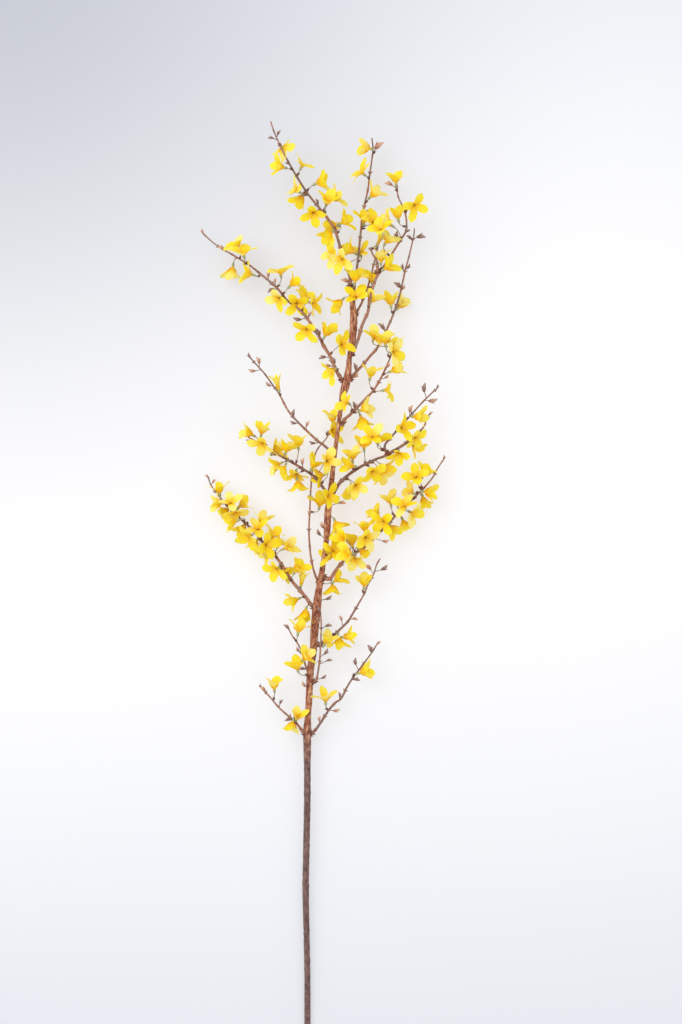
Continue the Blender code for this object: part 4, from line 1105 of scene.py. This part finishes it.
flat_stalk = corners_of(stalk)
stalk_shades = shades_for(flat_stalk, 0, flat_stalk[:, 2] * 0.65, 0)
flat_lobe = corners_of(lobe)
lobe_across = flat_lobe[:, 0] * 2
lobe_along = flat_lobe[:, 1] + 0.5
lobe_shades = shades_for(flat_lobe, lobe_across, 0.75 + lobe_along * 0.25, 0)
husk_shades = shades_for(flat_lobe, lobe_across, -0.3, -0.3)
draw = random.Random(7)
for name, own in blooms.items():
    copies = []
    for bloom in own:
        axis, base, root = bloom["axis"], bloom["base"], bloom["root"]
        middle = base - axis * 0.5 * (base - root).length
        places = bent(flat_stalk, root, middle, base + axis * STALK_OVERLAP, STALK_THICKNESS)
        copies.append(copy_of(stalk, places, stalk_shades))
        for k in range(4):
            turn = bloom["roll"] + 90 * k + draw.uniform(-LOBE_TURN, LOBE_TURN)
            out = outward(axis, radians(turn))
            length = LOBE_LENGTH * draw.uniform(*LOBE_SIZES)
            places = lobe_places(flat_lobe, base, axis, out, length, LOBE_WIDTH, LOBE_CLASP, LOBE_FLARE)
            copies.append(copy_of(lobe, places, lobe_shades))
        way = (middle - root).normalized()
        for k in range(HUSKS):
            out = outward(way, tau * k / HUSKS + draw.uniform(-HUSK_TURN, HUSK_TURN))
            length = HUSK_LENGTH * draw.uniform(*HUSK_SIZES)
            foot = root + way * draw.uniform(*HUSK_FEET)
            places = lobe_places(flat_lobe, foot, way, out, length, HUSK_WIDTH, HUSK_CLASP, HUSK_FLARE)
            copies.append(copy_of(lobe, places, husk_shades))
    if copies:
        fix(joined(f"{name}.stalks", None, copies), name, green)


# BUDS
# Pointed buds stand along the twigs and at their tips, on short stalks. Overlapping scales close them,
# mauve-brown on most and salmon on those about to open.

BUD_RADIUS = 1.35
BUD_LENGTH = 3.4
BUD_ROOT = 3.5
BUD_BODY = 3.2
BUD_NECK = 0.52
BUD_RISE = 0.25
BUD_FULLNESS = 1.2
BUD_HOOK = 0.95
BUD_LIFT = Vector((0, 0, 0.1))
BUD_SHARE = 0.7
BUD_STALK_BOW = Vector((0, 0, 0.6))
BUD_SCALES = (5.0, 3.6, 5.0, 3.6)
BUD_SCALE_WIDTH = 2.5
BUD_SCALE_CLASP = 0.85
BUD_SCALE_FLARE = 0.7
BUD_SCALE_TURN = 0.3

bud = turned("bud", 7, ((0, 0.35), (0.1, 0.72), (0.3, 1.0), (0.52, 0.98), (0.72, 0.72), (0.88, 0.38),
                        (1, 0.06)))
scaly = Finish("bud_scales")
edge, height, tint = scaly.shades()
spot = scaly.node("TexCoord", {}, {}, "Object")
grain = scaly.noise(spot, 800, 4, 0.6)
mauve = scaly.ramp(height + (grain - 0.5) * 0.5, (0, "6A4A44"), (0.4, "8C6A63"), (0.75, "A88A80"),
                   (1, "7A4F48"))
salmon = scaly.ramp(height + (grain - 0.5) * 0.4, (0, "93604F"), (0.5, "C8957F"), (0.85, "D9AE8E"),
                    (1, "A96B57"))
surface = scaly.mix(scaly.between(tint, 0.52, 0.6), mauve, salmon)
surface = scaly.mix(edge * edge * 0.5, surface, colour("D8B79C"))
scaly.feed(surface, grain + (height * 30).sine() * 0.4, 0.0003, 0.66)

flat_bud = corners_of(bud)
draw = random.Random(9)
for name in lines:
    buds = SPRAYS[name]["buds"] if name in SPRAYS else STEM_BUDS
    line = [p for p, r in lines[name]]
    copies = []
    for x, y, size in buds:
        spot = Vector((x, y, 0))
        root = before(line, spot, BUD_ROOT * size, 0)
        middle = Vector((x, y, root.z + BUD_RISE * (spot - root).xy.length))
        way = (middle - root).normalized()
        hook = frame_on(way)[0] * draw.choice((-BUD_HOOK, BUD_HOOK)) + BUD_LIFT
        end = middle + (way + hook).normalized() * BUD_LENGTH * BUD_FULLNESS * size
        start = middle - way * min(BUD_BODY * size, BUD_SHARE * (middle - root).length)
        tint_here = draw.random()
        places = bent(flat_stalk, root, root.lerp(start, 0.5) + BUD_STALK_BOW,
                      start + way * STALK_OVERLAP, BUD_NECK)
        copies.append(copy_of(stalk, places, shades_for(flat_stalk, 0, 0, tint_here)))
        places = bent(flat_bud, start, middle, end, BUD_RADIUS * BUD_FULLNESS * size)
        copies.append(copy_of(bud, places, shades_for(flat_bud, 0, flat_bud[:, 2], tint_here)))
        for k, length in enumerate(BUD_SCALES):
            turn = draw.uniform(-BUD_SCALE_TURN, BUD_SCALE_TURN)
            out = outward(way, tau * k / len(BUD_SCALES) + turn)
            places = lobe_places(flat_lobe, start, way, out, length * size, BUD_SCALE_WIDTH * size,
                                 BUD_SCALE_CLASP * size, BUD_SCALE_FLARE * size)
            copies.append(copy_of(lobe, places, shades_for(flat_lobe, lobe_across, lobe_along, tint_here)))
    if copies:
        fix(joined(f"{name}.buds", None, copies), name, scaly)
for template in (resting_bud, stalk, lobe, bud):
    bpy.data.objects.remove(template)


# TABLE, LIGHT AND CAMERA
# A plain white table seen from straight above, lit by broad soft lamps and by a painted glow of its own
# that lightens the branch's shadows from below. Painted shade makes it pale blue-grey towards its ends,
# most of all in the upper left corner.

TABLE_SIZE = 16
TABLE_PAINTED_GLOW = 0.55
VIEW_X = 0.02155
VIEW_Y = 0.0854
VIEW_HEIGHT = 2.6
ROOM_LIGHT = 0.8
LAMP_SIZE = 2.6
LAMPS = (((-1.5, 1.2, 2.4), 41), ((1.7, -0.9, 2.6), 12))
BRANCH_HEIGHT = 0.035
VIEW_LENGTH = 1.2288
SENSOR = 36

bpy.ops.mesh.primitive_plane_add(size=TABLE_SIZE, location=(0, 0, 0))
table = bpy.context.active_object
table.name = "table"
white = Finish("white_table")
spot = white.node("TexCoord", {}, {}, "Object")
cloud = white.noise(spot, 3, 2)
ends = white.node("VectorMath", {"operation": "MULTIPLY"}, {0: spot, 1: (0.25, 1, 1)})
ends = white.node("VectorMath", {"operation": "DISTANCE"}, {0: ends, 1: (0, 0.15, 0)}, "Value")
corner = white.node("VectorMath", {"operation": "DISTANCE"}, {0: spot, 1: (-0.43, 0.76, 0)}, "Value")
# Painted shade: the table darkens to pale blue-grey towards its ends, and most of all in the upper left
# corner.
tone = white.mix(white.between(ends + cloud * 0.06, 0.12, 0.95), colour("F9F9FB"), colour("DDE0E8"))
tone = white.mix(white.between(corner, 0.85, 0) * 0.74, tone, colour("AEB2BD"))
# Painted glow: the table gives off light of its own, which lightens the branch's shadows on it and lights
# the petals from below.
plug(white.tree, white.shader["Emission Color"], tone)
white.shader["Emission Strength"].default_value = TABLE_PAINTED_GLOW
white.feed(white.mix(0.55, tone, colour("000000")), cloud, 0.0002, 0.9)
table.data.materials.append(white.material)

room = bpy.data.worlds.new("soft_room")
bpy.context.scene.world = room
room.use_nodes = True
room.node_tree.nodes["Background"].inputs["Color"].default_value = (1, 1, 1, 1)
room.node_tree.nodes["Background"].inputs["Strength"].default_value = ROOM_LIGHT
for place, power in LAMPS:
    bpy.ops.object.light_add(type="AREA", radius=LAMP_SIZE, location=place)
    lamp = bpy.context.active_object
    lamp.rotation_euler = (-Vector(place)).to_track_quat("-Z", "Y").to_euler()
    lamp.data.energy = power

bpy.ops.object.camera_add(location=(VIEW_X, VIEW_Y, BRANCH_HEIGHT + VIEW_HEIGHT), rotation=(0, 0, 0))
camera = bpy.context.active_object
camera.data.sensor_width = SENSOR
camera.data.lens = SENSOR * VIEW_HEIGHT / VIEW_LENGTH
bpy.context.scene.camera = camera
bpy.context.scene.view_settings.view_transform = "Standard"
